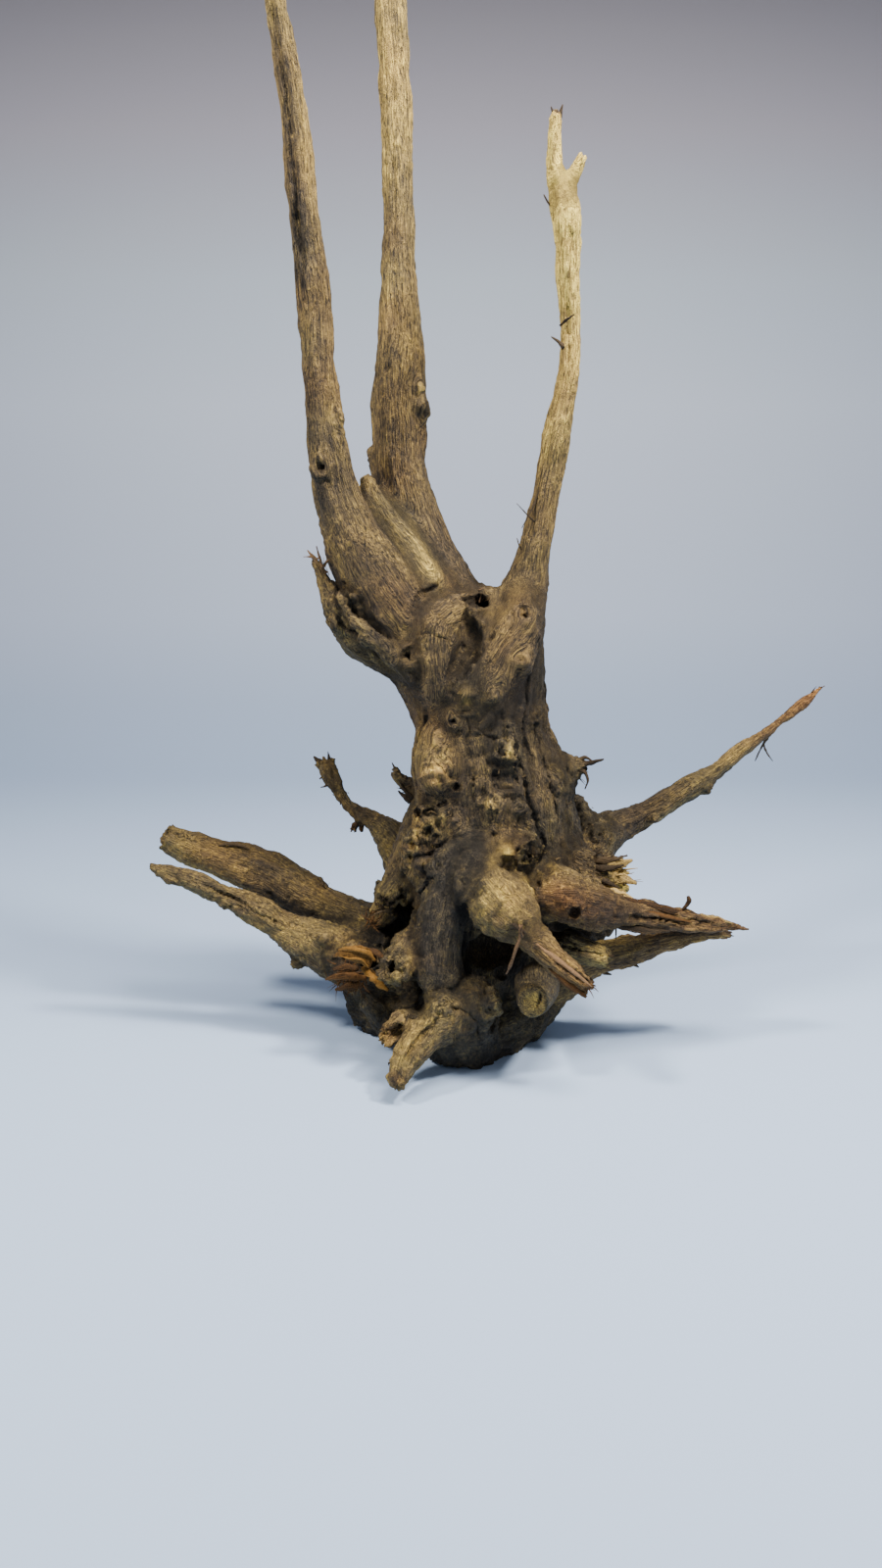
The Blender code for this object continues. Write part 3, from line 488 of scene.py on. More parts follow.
def linear(hex_colour):
    """An sRGB hex colour as linear values, which is what a shader's socket takes."""
    values = [int(hex_colour[k:k + 2], 16) / 255 for k in (1, 3, 5)]
    return [v / 12.92 if v <= 0.04045 else ((v + 0.055) / 1.055) ** 2.4 for v in values] + [1.0]


def placed(*point):
    """A place in metres in the part's frame, from one in millimetres from the foot of the trunk's axis."""
    return (np.array(point, float) + TRUNK_PLACE) * MM


def unit(vectors):
    """Vectors scaled to unit length."""
    return vectors / np.maximum(np.linalg.norm(vectors, axis=-1, keepdims=True), 1e-9)


def bell(points, x, y, z, radius):
    """A bell of the distance from a place in millimetres: 1 at the place, and 1/e at the radius."""
    offset = points - placed(x, y, z)
    return np.exp(-(offset**2).sum(1) / (radius * MM) ** 2)


def smooth_path(waypoints, step, count=0):
    """A smooth curve through the waypoints: a cubic Hermite curve whose slope at each waypoint is that
    of its neighbours, with the distance between waypoints as its parameter. It has the number of points
    that is given, or one every step. Millimetres in, metres out."""
    way = np.asarray(waypoints, float)
    way[:, :3] += TRUNK_PLACE
    way *= MM
    gaps = np.linalg.norm(np.diff(way[:, :3], axis=0), axis=1)
    knots = np.concatenate(([0.0], np.cumsum(gaps)))
    slope = np.gradient(way, knots, axis=0)
    at = np.linspace(0.0, knots[-1], count or max(3, int(round(knots[-1] / step)) + 1))
    i = np.clip(np.searchsorted(knots, at, side="right") - 1, 0, len(knots) - 2)
    span = (knots[i + 1] - knots[i])[:, None]
    f = (at - knots[i])[:, None] / span
    path = (2 * f**3 - 3 * f**2 + 1) * way[i] + (f**3 - 2 * f**2 + f) * span * slope[i]
    path += (3 * f**2 - 2 * f**3) * way[i + 1] + (f**3 - f**2) * span * slope[i + 1]
    path[:, 3] = np.maximum(path[:, 3], 0.0003)
    return path


def lattice_noise(points, size, seed):
    """Smooth random values from -1 to 1: each corner of a cubic lattice of that size has a random
    number, and a point takes the S-curve blend of the eight corners around it."""
    table = np.random.default_rng(seed).uniform(-1.0, 1.0, 65536).astype(np.float32)
    scaled = np.asarray(points, np.float32) / np.float32(size) + np.float32(1000.0)
    cell = np.floor(scaled)
    f = scaled - cell
    f = f * f * (3 - 2 * f)
    cell = cell.astype(np.int64)
    total = np.zeros(len(scaled), np.float32)
    for corner in itertools.product((0, 1), repeat=3):
        key = cell + corner
        key = (key[:, 0] * 73856093) ^ (key[:, 1] * 19349663) ^ (key[:, 2] * 83492791)
        weight = np.ones(len(scaled), np.float32)
        for k in range(3):
            weight *= f[:, k] if corner[k] else 1 - f[:, k]
        total += weight * table[key & 65535]
    return total


def grain_noise(points, grain, size, reach, seed, steps=6):
    """Random streaks along the grain: the mean of lattice noise at points spread along the grain's
    direction, as far as `reach` each way, scaled back to the spread that one sample has."""
    total = np.zeros(len(points), np.float32)
    for k in np.linspace(-1.0, 1.0, 2 * steps + 1):
        total += lattice_noise(points + grain * (k * reach), size, seed)
    return total / math.sqrt(2 * steps + 1)


def make_field(low, high, voxel):
    """A box of evenly spaced samples, all of them far from any wood."""
    shape = np.ceil((high - low) / voxel).astype(int) + 1
    return {"low": low, "voxel": voxel, "value": np.full(shape, FAR, np.float32)}


def window(field, low, high):
    """The part of the field inside a box: its slices and its three coordinate axes."""
    shape = np.array(field["value"].shape)
    a = np.clip(np.floor((low - field["low"]) / field["voxel"]).astype(int), 0, shape)
    b = np.clip(np.ceil((high - field["low"]) / field["voxel"]).astype(int) + 1, 0, shape)
    axes = [field["low"][k] + field["voxel"] * np.arange(a[k], b[k]) for k in range(3)]
    x, y, z = (axis.astype(np.float32) for axis in axes)
    slices = tuple(slice(int(p), int(q)) for p, q in zip(a, b))
    return slices, (x[:, None, None], y[None, :, None], z[None, None, :])


def cone_distance(p, q, x, y, z):
    """Distance to the skin of a round cone from p to q: distance to the nearest point of the axis,
    less the radius there."""
    ax, ay, az = (q[:3] - p[:3]).astype(np.float32)
    px, py, pz = x - np.float32(p[0]), y - np.float32(p[1]), z - np.float32(p[2])
    h = (px * ax + py * ay + pz * az) / np.float32(max(ax * ax + ay * ay + az * az, 1e-12))
    np.clip(h, 0.0, 1.0, out=h)
    d = np.sqrt((px - h * ax) ** 2 + (py - h * ay) ** 2 + (pz - h * az) ** 2)
    return d - (np.float32(p[3]) + h * np.float32(q[3] - p[3]))


def chain_field(field, path, margin):
    """Distance to a whole tapered tube inside its own window: the least of its cones' distances."""
    reach = path[:, 3].max() + margin
    slices, axes = window(field, path[:, :3].min(0) - reach, path[:, :3].max(0) + reach)
    out = np.full([s.stop - s.start for s in slices], FAR, np.float32)
    for p, q in zip(path[:-1], path[1:]):
        reach = max(p[3], q[3]) + margin
        part, (x, y, z) = window(field, np.minimum(p[:3], q[:3]) - reach, np.maximum(p[:3], q[:3]) + reach)
        local = tuple(slice(s.start - t.start, s.stop - t.start) for s, t in zip(part, slices))
        np.minimum(out[local], cone_distance(p, q, x, y, z), out=out[local])
    return slices, axes, out


def break_off(out, axes, path, end, seed):
    """Ends a tube at its first point: the greater of its distance and the depth past a plane that is
    toothed by noise across the grain, so that the wood breaks in splinters that run with it."""
    reach, width = ENDS[end]
    tip = path[0, :3]
    out_way = tip - path[2, :3]
    out_way /= np.linalg.norm(out_way)
    near = np.flatnonzero(np.abs(out).ravel() < 0.02)
    x, y, z = (np.broadcast_to(axis, out.shape).ravel()[near] for axis in axes)
    offset = np.stack((x, y, z), 1) - tip
    along = offset @ out_way
    across = offset - along[:, None] * out_way
    teeth = lattice_noise(across + tip, width * MM, seed)
    teeth = teeth + 0.5 * lattice_noise(across, width * 0.5 * MM, seed)
    flat = out.ravel()
    flat[near] = np.maximum(flat[near], along - teeth * reach * MM * 0.5)


def add_wood(field, slices, distance, fillet):
    """Joins a shape to the wood: the lesser of the two distances, lowered where they are nearly equal,
    which fills the corner between them with a fillet."""
    old = field["value"][slices]
    blend = np.maximum(fillet - np.abs(old - distance), 0) / fillet
    field["value"][slices] = np.minimum(old, distance) - blend * blend * (fillet * 0.25)


def take_wood(field, slices, distance, edge):
    """Cuts a shape out of the wood: the greater of the wood's distance and the shape's negated one,
    with the edge of the cut rounded over."""
    old = field["value"][slices]
    blend = np.maximum(edge - np.abs(old + distance), 0) / edge
    field["value"][slices] = np.maximum(old, -distance) + blend * blend * (edge * 0.25)


def field_at(field, points):
    """The field's value between its samples, by trilinear blending."""
    scaled = (points - field["low"]) / field["voxel"]
    cell = np.clip(np.floor(scaled).astype(int), 0, np.array(field["value"].shape) - 2)
    f = np.clip(scaled - cell, 0, 1)
    total = np.zeros(len(points))
    for corner in itertools.product((0, 1), repeat=3):
        weight = np.prod(np.where(corner, f, 1 - f), axis=1)
        total += weight * field["value"][tuple((cell + corner).T)]
    return total


def field_slope(field, points):
    """The outward direction of the field: its central differences, scaled to unit length."""
    step = field["voxel"]
    slope = np.stack([
        field_at(field, points + step * axis) - field_at(field, points - step * axis)
        for axis in np.eye(3)], 1)
    return unit(slope)


def seat(field, points, passes=6):
    """Moves points to the skin: each pass steps back along the slope by the field's value."""
    points = np.array(points, float)
    for _ in range(passes):
        points = points - field_slope(field, points) * field_at(field, points)[:, None]
    return points


def seated_feature(field, x, y, z):
    """A place moved to the skin, and the way out of the wood there."""
    at = seat(field, placed(x, y, z)[None])
    return at[0], field_slope(field, at)[0]


def grow_knots(field):
    """Small features, each pointing out of the skin where it sits: a knob is a ball, a ring is a bead
    round a pit, an eye is rings inside each other, and a hole is a deep pit. The space round each is
    bent by noise first, so that none is round."""
    for seed, (kind, x, y, z, radius) in enumerate(KNOTS):
        at, out_way = seated_feature(field, x, y, z)
        r = radius * MM
        slices, axes = window(field, at - 2.6 * r - 0.008, at + 2.6 * r + 0.008)
        shape = [s.stop - s.start for s in slices]
        offset = np.stack([np.broadcast_to(axis, shape).ravel() for axis in axes], 1) - at
        bend = [lattice_noise(offset, 1.1 * r, 500 + 3 * seed + k) for k in range(3)]
        offset = offset + 0.42 * r * np.stack(bend, 1)
        along = (offset @ out_way).reshape(shape)
        across = np.sqrt(np.maximum((offset**2).sum(1).reshape(shape) - along**2, 0))
        if kind == "ring":
            bead = np.sqrt((across - 1.2 * r) ** 2 + along**2) - 0.6 * r
            add_wood(field, slices, bead.astype(np.float32), 1.2 * r)
        if kind == "knob":
            ball = np.sqrt(across**2 + (along * 1.2) ** 2) - 0.85 * r
            add_wood(field, slices, ball.astype(np.float32), 1.2 * r)
        if kind == "eye":
            for share in (1.3, 0.85, 0.4):
                bead = np.sqrt((across - share * r) ** 2 + (along - 0.1 * r) ** 2) - 0.2 * r
                add_wood(field, slices, bead.astype(np.float32), 0.15 * r)
        if kind in WELLS:
            mouth, depth = WELLS[kind]
            well = np.maximum(across - mouth * r - 0.35 * along, -depth * r - along)
            take_wood(field, slices, well.astype(np.float32), 0.8 * r)


def cut_hollows(field):
    """Rot hollows: tubes from the mouth inwards that are wider or narrower inside, cut from the wood."""
    for mouth, inside, points in HOLLOWS.values():
        sizes = np.linspace(mouth, inside, len(points))
        path = smooth_path([(*p, r) for p, r in zip(points, sizes)], 6 * MM)
        slices, _, distance = chain_field(field, path, 0.008)
        take_wood(field, slices, distance, 0.004)


def cut_cracks(field):
    """Cracks and valleys: a chain of points laid on the skin, moved sideways and made wider and
    narrower by noise, and cut again further in with a smaller radius."""
    for seed, (width, depth, points) in enumerate(CRACKS.values()):
        rough = smooth_path([(*p, width) for p in points], 3.5 * MM)
        line = rough[:, :3] + np.stack(
            [1.6 * MM * lattice_noise(rough[:, :3], 0.011, 700 + 3 * seed + k) for k in range(3)], 1)
        line = seat(field, line)
        inward = field_slope(field, line)
        taper = np.sin(np.linspace(0.1, math.pi - 0.1, len(line))) ** 0.6
        taper = taper * (1 + 0.45 * lattice_noise(line, 0.008, 800 + seed))
        for share in (0.0, 0.35, 0.7, 1.0):
            radius = np.maximum(0.5 * width * (1 - 0.75 * share) * taper, 0.3) * MM
            path = np.column_stack((line - inward * (depth * share * taper * MM)[:, None], radius))
            slices, _, distance = chain_field(field, path, 0.006)
            take_wood(field, slices, distance, 0.3 * width * MM)


def skin_of(field):
    """The closed surface where the field is zero: one vertex in each cell that it crosses, at the mean
    of the crossings on the cell's edges, and one face round each lattice edge that it crosses."""
    value = field["value"]
    inside = value < 0
    count = np.zeros([n - 1 for n in value.shape], np.uint8)
    corners = list(itertools.product((0, 1), repeat=3))
    for c in corners:
        count += inside[tuple(slice(k, n - 1 + k) for k, n in zip(c, value.shape))]
    shape = count.shape
    cells = np.flatnonzero(((count > 0) & (count < 8)).ravel())
    place = np.array(np.unravel_index(cells, shape)).T
    sample = {c: value[tuple((place + c).T)] for c in corners}
    total = np.zeros((len(cells), 3))
    hits = np.zeros(len(cells))
    for a, b in itertools.combinations(corners, 2):
        if sum(abs(p - q) for p, q in zip(a, b)) != 1:
            continue
        crossed = (sample[a] < 0) != (sample[b] < 0)
        gap = np.where(crossed, sample[a] - sample[b], 1.0)
        t = np.where(crossed, sample[a] / gap, 0.0)
        total += crossed[:, None] * (np.array(a) + t[:, None] * (np.array(b) - np.array(a)))
        hits += crossed
    points = field["low"] + field["voxel"] * (place + total / hits[:, None])
    faces = []
    for axis in range(3):
        u, v = (axis + 1) % 3, (axis + 2) % 3
        near = [slice(1, n - 1) for n in value.shape]
        far = list(near)
        far[axis] = slice(2, value.shape[axis])
        here, there = inside[tuple(near)], inside[tuple(far)]
        at = np.argwhere(here != there) + 1
        outward = inside[tuple(at.T)]
        ring = []
        for du, dv in ((-1, -1), (0, -1), (0, 0), (-1, 0)):
            cell = at.copy()
            cell[:, u] += du
            cell[:, v] += dv
            ring.append(np.searchsorted(cells, np.ravel_multi_index(tuple(cell.T), shape)))
        quad = np.stack(ring, 1)
        faces.append(np.where(outward[:, None], quad, quad[:, ::-1]))
    return points, np.concatenate(faces)


def mesh_from(name, points, faces):
    """A mesh from whole arrays of points and of faces with the same number of corners."""
    mesh = bpy.data.meshes.new(name)
    mesh.vertices.add(len(points))
    mesh.vertices.foreach_set("co", np.asarray(points, np.float32).ravel())
    mesh.loops.add(faces.size)
    mesh.loops.foreach_set("vertex_index", faces.astype(np.int32).ravel())
    mesh.polygons.add(len(faces))
    mesh.polygons.foreach_set("loop_start", np.arange(0, faces.size, faces.shape[1], dtype=np.int32))
    mesh.update(calc_edges=True)
    mesh.validate()
    mesh.shade_smooth()
    return mesh


def new_piece(name, mesh, material):
    """An object of that mesh and material, which rides on the root and takes its slot."""
    piece = bpy.data.objects.new(name, mesh)
    bpy.context.scene.collection.objects.link(piece)
    piece.data.materials.append(material)
    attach(piece, "root")
    return piece


def mesh_arrays(mesh):
    """A mesh's points, its vertex normals and its edges, each as one whole array."""
    points = np.empty(len(mesh.vertices) * 3, np.float32)
    mesh.vertices.foreach_get("co", points)
    normals = np.empty(len(mesh.vertices) * 3, np.float32)
    mesh.vertex_normals.foreach_get("vector", normals)
    edges = np.empty(len(mesh.edges) * 2, np.int32)
    mesh.edges.foreach_get("vertices", edges)
    return points.reshape(-1, 3).astype(float), normals.reshape(-1, 3).astype(float), edges.reshape(-1, 2)


def near_limb(points, path):
    """Indices of the points that a limb may touch."""
    margin = path[:, 3].max() + 0.016
    low, high = path[:, :3].min(0) - margin, path[:, :3].max(0) + margin
    return np.flatnonzero(((points > low) & (points < high)).all(1))


def limb_frame(path):
    """Two directions square to the limb at each of its path's points, carried along from its root without
    twist, and the distance along the limb, which starts as the height of its root."""
    way = unit(np.gradient(path[:, :3], axis=0))
    side = np.empty_like(way)
    carried = np.cross(way[-1], (0.31, 0.87, 0.38))
    for k in reversed(range(len(path))):
        carried = carried - (carried @ way[k]) * way[k]
        carried /= max(np.linalg.norm(carried), 1e-9)
        side[k] = carried
    steps = np.linalg.norm(np.diff(path[:, :3], axis=0), axis=1)
    gone = np.append(np.cumsum(steps[::-1])[::-1], 0.0) + path[-1, 2]
    return side, np.cross(way, side), gone


def along_limb(points, path):
    """For points near a limb: distance to its skin, share of the way from its free end, the limb's
    direction at the nearest place, pointing to its free end, and the place in the limb: two offsets from
    its axis and the distance along it."""
    best = np.full(len(points), np.inf)
    share = np.zeros(len(points))
    way = np.zeros((len(points), 3))
    inside = np.zeros((len(points), 3))
    side, up, gone = limb_frame(path)
    foot = np.array((path[-1, :3] @ side[-1], path[-1, :3] @ up[-1]))
    count = len(path) - 1
    for k in range(count):
        p, q = path[k], path[k + 1]
        axis = q[:3] - p[:3]
        h = np.clip(((points - p[:3]) @ axis) / max(axis @ axis, 1e-12), 0, 1)
        offset = points - p[:3] - h[:, None] * axis
        d = np.linalg.norm(offset, axis=1) - (p[3] + h * (q[3] - p[3]))
        nearer = d < best
        best = np.where(nearer, d, best)
        share = np.where(nearer, (k + h) / count, share)
        way[nearer] = -axis / max(np.linalg.norm(axis), 1e-12)
        across = [
            (offset * (axes[k] + h[:, None] * (axes[k + 1] - axes[k]))).sum(1) + start
            for axes, start in zip((side, up), foot)]
        here = np.stack((*across, gone[k] + h * (gone[k + 1] - gone[k])), 1)
        inside[nearer] = here[nearer]
    return best, share, way, inside


def spread(values, edges, count, passes):
    """Evens out values over the skin: each pass moves every vertex halfway to its neighbours' mean."""
    ends = np.concatenate((edges[:, 0], edges[:, 1]))
    others = np.concatenate((edges[:, 1], edges[:, 0]))
    degree = np.maximum(np.bincount(ends, minlength=count), 1)
    for _ in range(passes):
        for k in range(values.shape[1]):
            mean = np.bincount(ends, weights=values[others, k], minlength=count) / degree
            values[:, k] = 0.5 * (values[:, k] + mean)
    return values


def add_direction(tensor, rows, weight, way):
    """Adds a direction to some rows of the grain tensor: its product with itself, times the weight."""
    for k, (i, j) in enumerate(TENSOR_PARTS):
        tensor[rows, k] += weight * way[..., i] * way[..., j]


def knot_whorls(points, normals, tensor, knots):
    """Turns the grain round each knot: adds the direction at right angles to the line from the knot,
    with a strength that falls off as a bell curve."""
    for at, radius in knots:
        offset = points - at
        far = np.linalg.norm(offset, axis=1)
        near = np.flatnonzero(far < 4 * radius)
        around = unit(np.cross(normals[near], offset[near]))
        add_direction(tensor, near, 3.0 * np.exp(-(far[near] / (1.6 * radius)) ** 2), around)


def round_knots(points, knots):
    """Where each point would lie if the knots had not pushed the fibres aside: drawn in to each knot by a
    bell of its distance, with a slow random sway added, of two lengths."""
    moved = points
    for size, sway, seed in ((0.035, 0.0022, 50), (0.011, 0.0007, 53)):
        moved = moved + np.stack([lattice_noise(points, size, seed + k) for k in range(3)], 1) * sway
    for at, radius in knots:
        offset = points - at
        squared = (offset**2).sum(1)
        near = np.flatnonzero(squared < (5 * radius) ** 2)
        moved[near] -= 0.95 * offset[near] * np.exp(-squared[near] / (1.9 * radius) ** 2)[:, None]
    return moved


def turn_grain(points, tensor):
    """Adds each given direction to the grain, with a strength that falls off as a bell curve."""
    for x, y, z, dx, dy, dz, radius in GRAIN_TURNS:
        way = np.array((dx, dy, dz)) / np.linalg.norm((dx, dy, dz))
        add_direction(tensor, slice(None), 4.0 * bell(points, x, y, z, radius), way)


def wood_map(mesh, paths, knots):
    """What the wood is like at each vertex: grain direction, tone, redness, furrow depth, lump size and how
    clearly its fibres show. Each is a mean over the limbs, which count less the further away they are.
    The grain is the longest axis of the mean of the limbs' direction tensors, laid flat on the skin."""
    points, normals, edges = mesh_arrays(mesh)
    count = len(points)
    tensor = np.zeros((count, 6))
    values = np.zeros((count, 5))
    total = np.full(count, 1e-9)
    nearest = np.full(count, np.inf)
    lead = np.tile((0.0, 0.0, 1.0), (count, 1))
    for name, path in paths.items():
        tip_tone, root_tone, tip_warm, root_warm, *even = LOOKS[LIMBS[name][0]]
        near = near_limb(points, path)
        distance, share, way, _ = along_limb(points[near], path)
        weight = np.exp(-np.maximum(distance, 0) / LOOK_REACH)
        add_direction(tensor, near, weight, way)
        tone = tip_tone + (root_tone - tip_tone) * share
        warm = tip_warm + (root_warm - tip_warm) * share
        for k, value in enumerate((tone, warm, *even)):
            values[near, k] += weight * value
        total[near] += weight
        closer = distance < nearest[near]
        nearest[near[closer]] = distance[closer]
        lead[near[closer]] = way[closer]
    tensor /= total[:, None]
    values /= total[:, None]
    knot_whorls(points, normals, tensor, knots)
    turn_grain(points, tensor)
    spread(tensor, edges, count, 6)
    spread(values, edges, count, 6)
    full = np.empty((count, 3, 3))
    for k, (i, j) in enumerate(TENSOR_PARTS):
        full[:, i, j] = full[:, j, i] = tensor[:, k]
    flat = np.eye(3) - normals[:, :, None] * normals[:, None, :]
    full = flat @ full @ flat
    grain = np.linalg.eigh(full)[1][:, :, 2]
    grain *= np.where((grain * lead).sum(1) < 0, -1.0, 1.0)[:, None]
    layers = zip(("tone", "warm", "furrow", "lump", "lines"), values.T)
    return {"points": points, "normals": normals, "grain": grain, **dict(layers)}


def fibre_places(points, paths, knots):
    """Where each point lies among the fibres: its place in the limbs round it, which count by a bell that
    falls off fast, with lengths along a limb shortened 16 times."""
    pushed = round_knots(points, knots)
    places = np.zeros((len(points), 3))
    total = np.full(len(points), 1e-9)
    for path in paths.values():
        near = near_limb(points, path)
        distance, _, _, inside = along_limb(pushed[near], path)
        weight = np.exp(-np.clip(distance, 0, 0.03) / FIBRE_REACH)
        places[near] += weight[:, None] * inside * (1, 1, FIBRE_SHARE)
        total[near] += weight
    return places / total[:, None]


def roughness_at(points):
    """How crumbly the skin is: the sum of a bell round each rough patch, broken up by noise."""
    total = np.zeros(len(points))
    for x, y, z, radius, strength in CRUSTS:
        total += strength * bell(points, x, y, z, radius)
    return np.clip(total * (1 + 0.8 * lattice_noise(points, 0.012, 33)), 0, 1)


def weather_skin(mesh, wood):
    """Moves each vertex along its normal. Lumps are plain noise of three sizes, and creases lie where two
    more pass zero. Flutes and furrows are noise combed along the grain, whose valleys are sharp and whose
    ridges are round. Crumbs are sharp noise on the rough patches."""
    points, normals, grain = wood["points"], wood["normals"], wood["grain"]
    lumps = lattice_noise(points, 0.034, 11) + 0.6 * lattice_noise(points, 0.016, 12)
    lumps += 0.35 * lattice_noise(points, 0.008, 13)
    creases = np.minimum(np.abs(lattice_noise(points, 0.0065, 14)), 0.3) / 0.3 - 1
    creases += 0.5 * (np.minimum(np.abs(lattice_noise(points, 0.013, 15)), 0.2) / 0.2 - 1)
    flutes = 1 - 2 * np.abs(grain_noise(points, grain, 0.013, 0.045, 20))
    furrows = 1 - 2.4 * np.abs(grain_noise(points, grain, 0.0055, 0.018, 21))
    threads = grain_noise(points, grain, 0.003, 0.010, 22)
    rough = roughness_at(points)
    crumbs = 1 - 2 * np.abs(lattice_noise(points, 0.0075, 31)) - np.abs(lattice_noise(points, 0.004, 32))
    lift = (lumps + 0.34 * creases) * wood["lump"] - flutes * wood["lump"] * 0.35
    lift -= furrows * wood["furrow"] * 0.8 - threads * wood["furrow"] * 0.35
    lift += rough * (crumbs * 1.7 + lattice_noise(points, 0.012, 34) * 1.6)
    moved = points + normals * (lift * MM)[:, None]
    moved[:, 2] = np.maximum(moved[:, 2], 0.0)
    mesh.vertices.foreach_set("co", moved.astype(np.float32).ravel())
    mesh.update()


def openness(field, points, normals):
    """How open the skin is to the light, from 0 deep in a hollow to 1: the field a little way out along
    the normal, over the way gone, at three distances."""
    total = np.zeros(len(points))
    for reach in (0.004, 0.009, 0.018):
        total += np.clip(field_at(field, points + normals * reach) / reach, 0, 1)
    return total / 3


def paint_skin(mesh, field, wood):
    """Stores tone, redness, painted shade in the hollows with a darkening close to the floor, how clearly
    the fibres show, the grain and the place among the fibres as attributes that the material reads. A
    patch adds a bell of the distance, shortened along the grain."""
    points, grain = wood["points"], wood["grain"]
    tone, warm = wood["tone"].copy(), wood["warm"].copy()
    for x, y, z, radius, add_tone, add_warm, stretch in PATCHES:
        offset = points - placed(x, y, z)
        along = (offset * grain).sum(1)
        squared = (offset**2).sum(1) - (1 - 1 / stretch**2) * along**2
        share = np.exp(-squared / (radius * MM) ** 2)
        tone += add_tone * share
        warm += add_warm * share
    rough = roughness_at(points)
    tone += 0.06 * grain_noise(points, grain, 0.005, 0.02, 41)
    tone += 0.05 * grain_noise(points, grain, 0.012, 0.02, 42)
    tone += 0.06 * lattice_noise(points, 0.03, 44) + 0.22 * rough * lattice_noise(points, 0.005, 45)
    warm += 0.14 * lattice_noise(points, 0.03, 43) + 0.25 * rough * lattice_noise(points, 0.01, 46)
    tone = np.minimum(tone, PALEST)
    # Painted shade: the skin is darker where it is closed off from the light, in hollows, creases and
    # corners. It is also a little darker within a few centimetres of the floor.
    open_share = openness(field, points, wood["normals"])
    low = np.exp(-np.maximum(points[:, 2], 0) / 0.03)
    dirt = np.clip(1.7 * (1 - open_share) - 0.62, 0, 1) + 0.12 * low
    layers = {
        "tone": tone, "warm": np.clip(warm, 0, 1), "dirt": np.clip(dirt, 0, 1), "lines": wood["lines"]}
    for name, values in layers.items():
        mesh.attributes.new(name, "FLOAT", "POINT").data.foreach_set("value", values.astype(np.float32))
    for name in ("grain", "fibre"):
        layer = mesh.attributes.new(name, "FLOAT_VECTOR", "POINT")
        layer.data.foreach_set("vector", wood[name].astype(np.float32).ravel())


def add_node(tree, kind, inputs=None, **settings):
    """A node with its settings, and with each input either linked to a socket or set to a value."""
    node = tree.nodes.new(kind)
    for name, value in settings.items():
        setattr(node, name, value)
    for name, value in (inputs or {}).items():
        if isinstance(value, bpy.types.NodeSocket):
            tree.links.new(value, node.inputs[name])
        else:
            node.inputs[name].default_value = value
    return node


def set_ramp(node, stops):
    """Sets a colour ramp's stops, each of them (position, linear colour)."""
    ramp = node.color_ramp
    while len(ramp.elements) < len(stops):
        ramp.elements.new(0.5)
    for element, (position, colour) in zip(ramp.elements, stops):
        element.position = position
        element.color = colour


def matt_material(name, roughness, specular):
    """A new material with a matt shader, its node tree and that shader."""
    material = bpy.data.materials.new(name)
    material.use_nodes = True
    tree = material.node_tree
    shader = tree.nodes["Principled BSDF"]
    shader.inputs["Roughness"].default_value = roughness
    shader.inputs["Specular IOR Level"].default_value = specular
    return material, tree, shader


def weighed_sum(tree, total, terms):
    """A value plus the sum of (source times share), where each may be a number or a socket."""
    for source, share in terms:
        total = add_node(tree, "ShaderNodeMath", {0: source, 1: share, 2: total},
                         operation="MULTIPLY_ADD").outputs[0]
    return total


def streaks(tree, place, grain, size, reach, samples, shift):
    """Streaks along the grain, as in the mesh: noise of that size in metres, averaged over points spread
    along the grain. The result is spread about 0.5 again, because a mean of many is nearly flat."""
    total = None
    for k in range(samples):
        along = shift + reach * (2 * k / (samples - 1) - 1)
        moved = add_node(tree, "ShaderNodeVectorMath", {0: grain, 1: (along,) * 3, 2: place},
                         operation="MULTIPLY_ADD")
        noise = add_node(tree, "ShaderNodeTexNoise",
                         {"Vector": moved.outputs[0], "Scale": 1 / size, "Detail": 0.0})
        if total is None:
            total = noise.outputs[0]
        else:
            total = add_node(tree, "ShaderNodeMath", {0: total, 1: noise.outputs[0]}).outputs[0]
    gain = 2.4 / math.sqrt(samples)
    return add_node(tree, "ShaderNodeMath", {0: total, 1: gain, 2: 0.5 - gain * samples * 0.5},
                    operation="MULTIPLY_ADD").outputs[0]


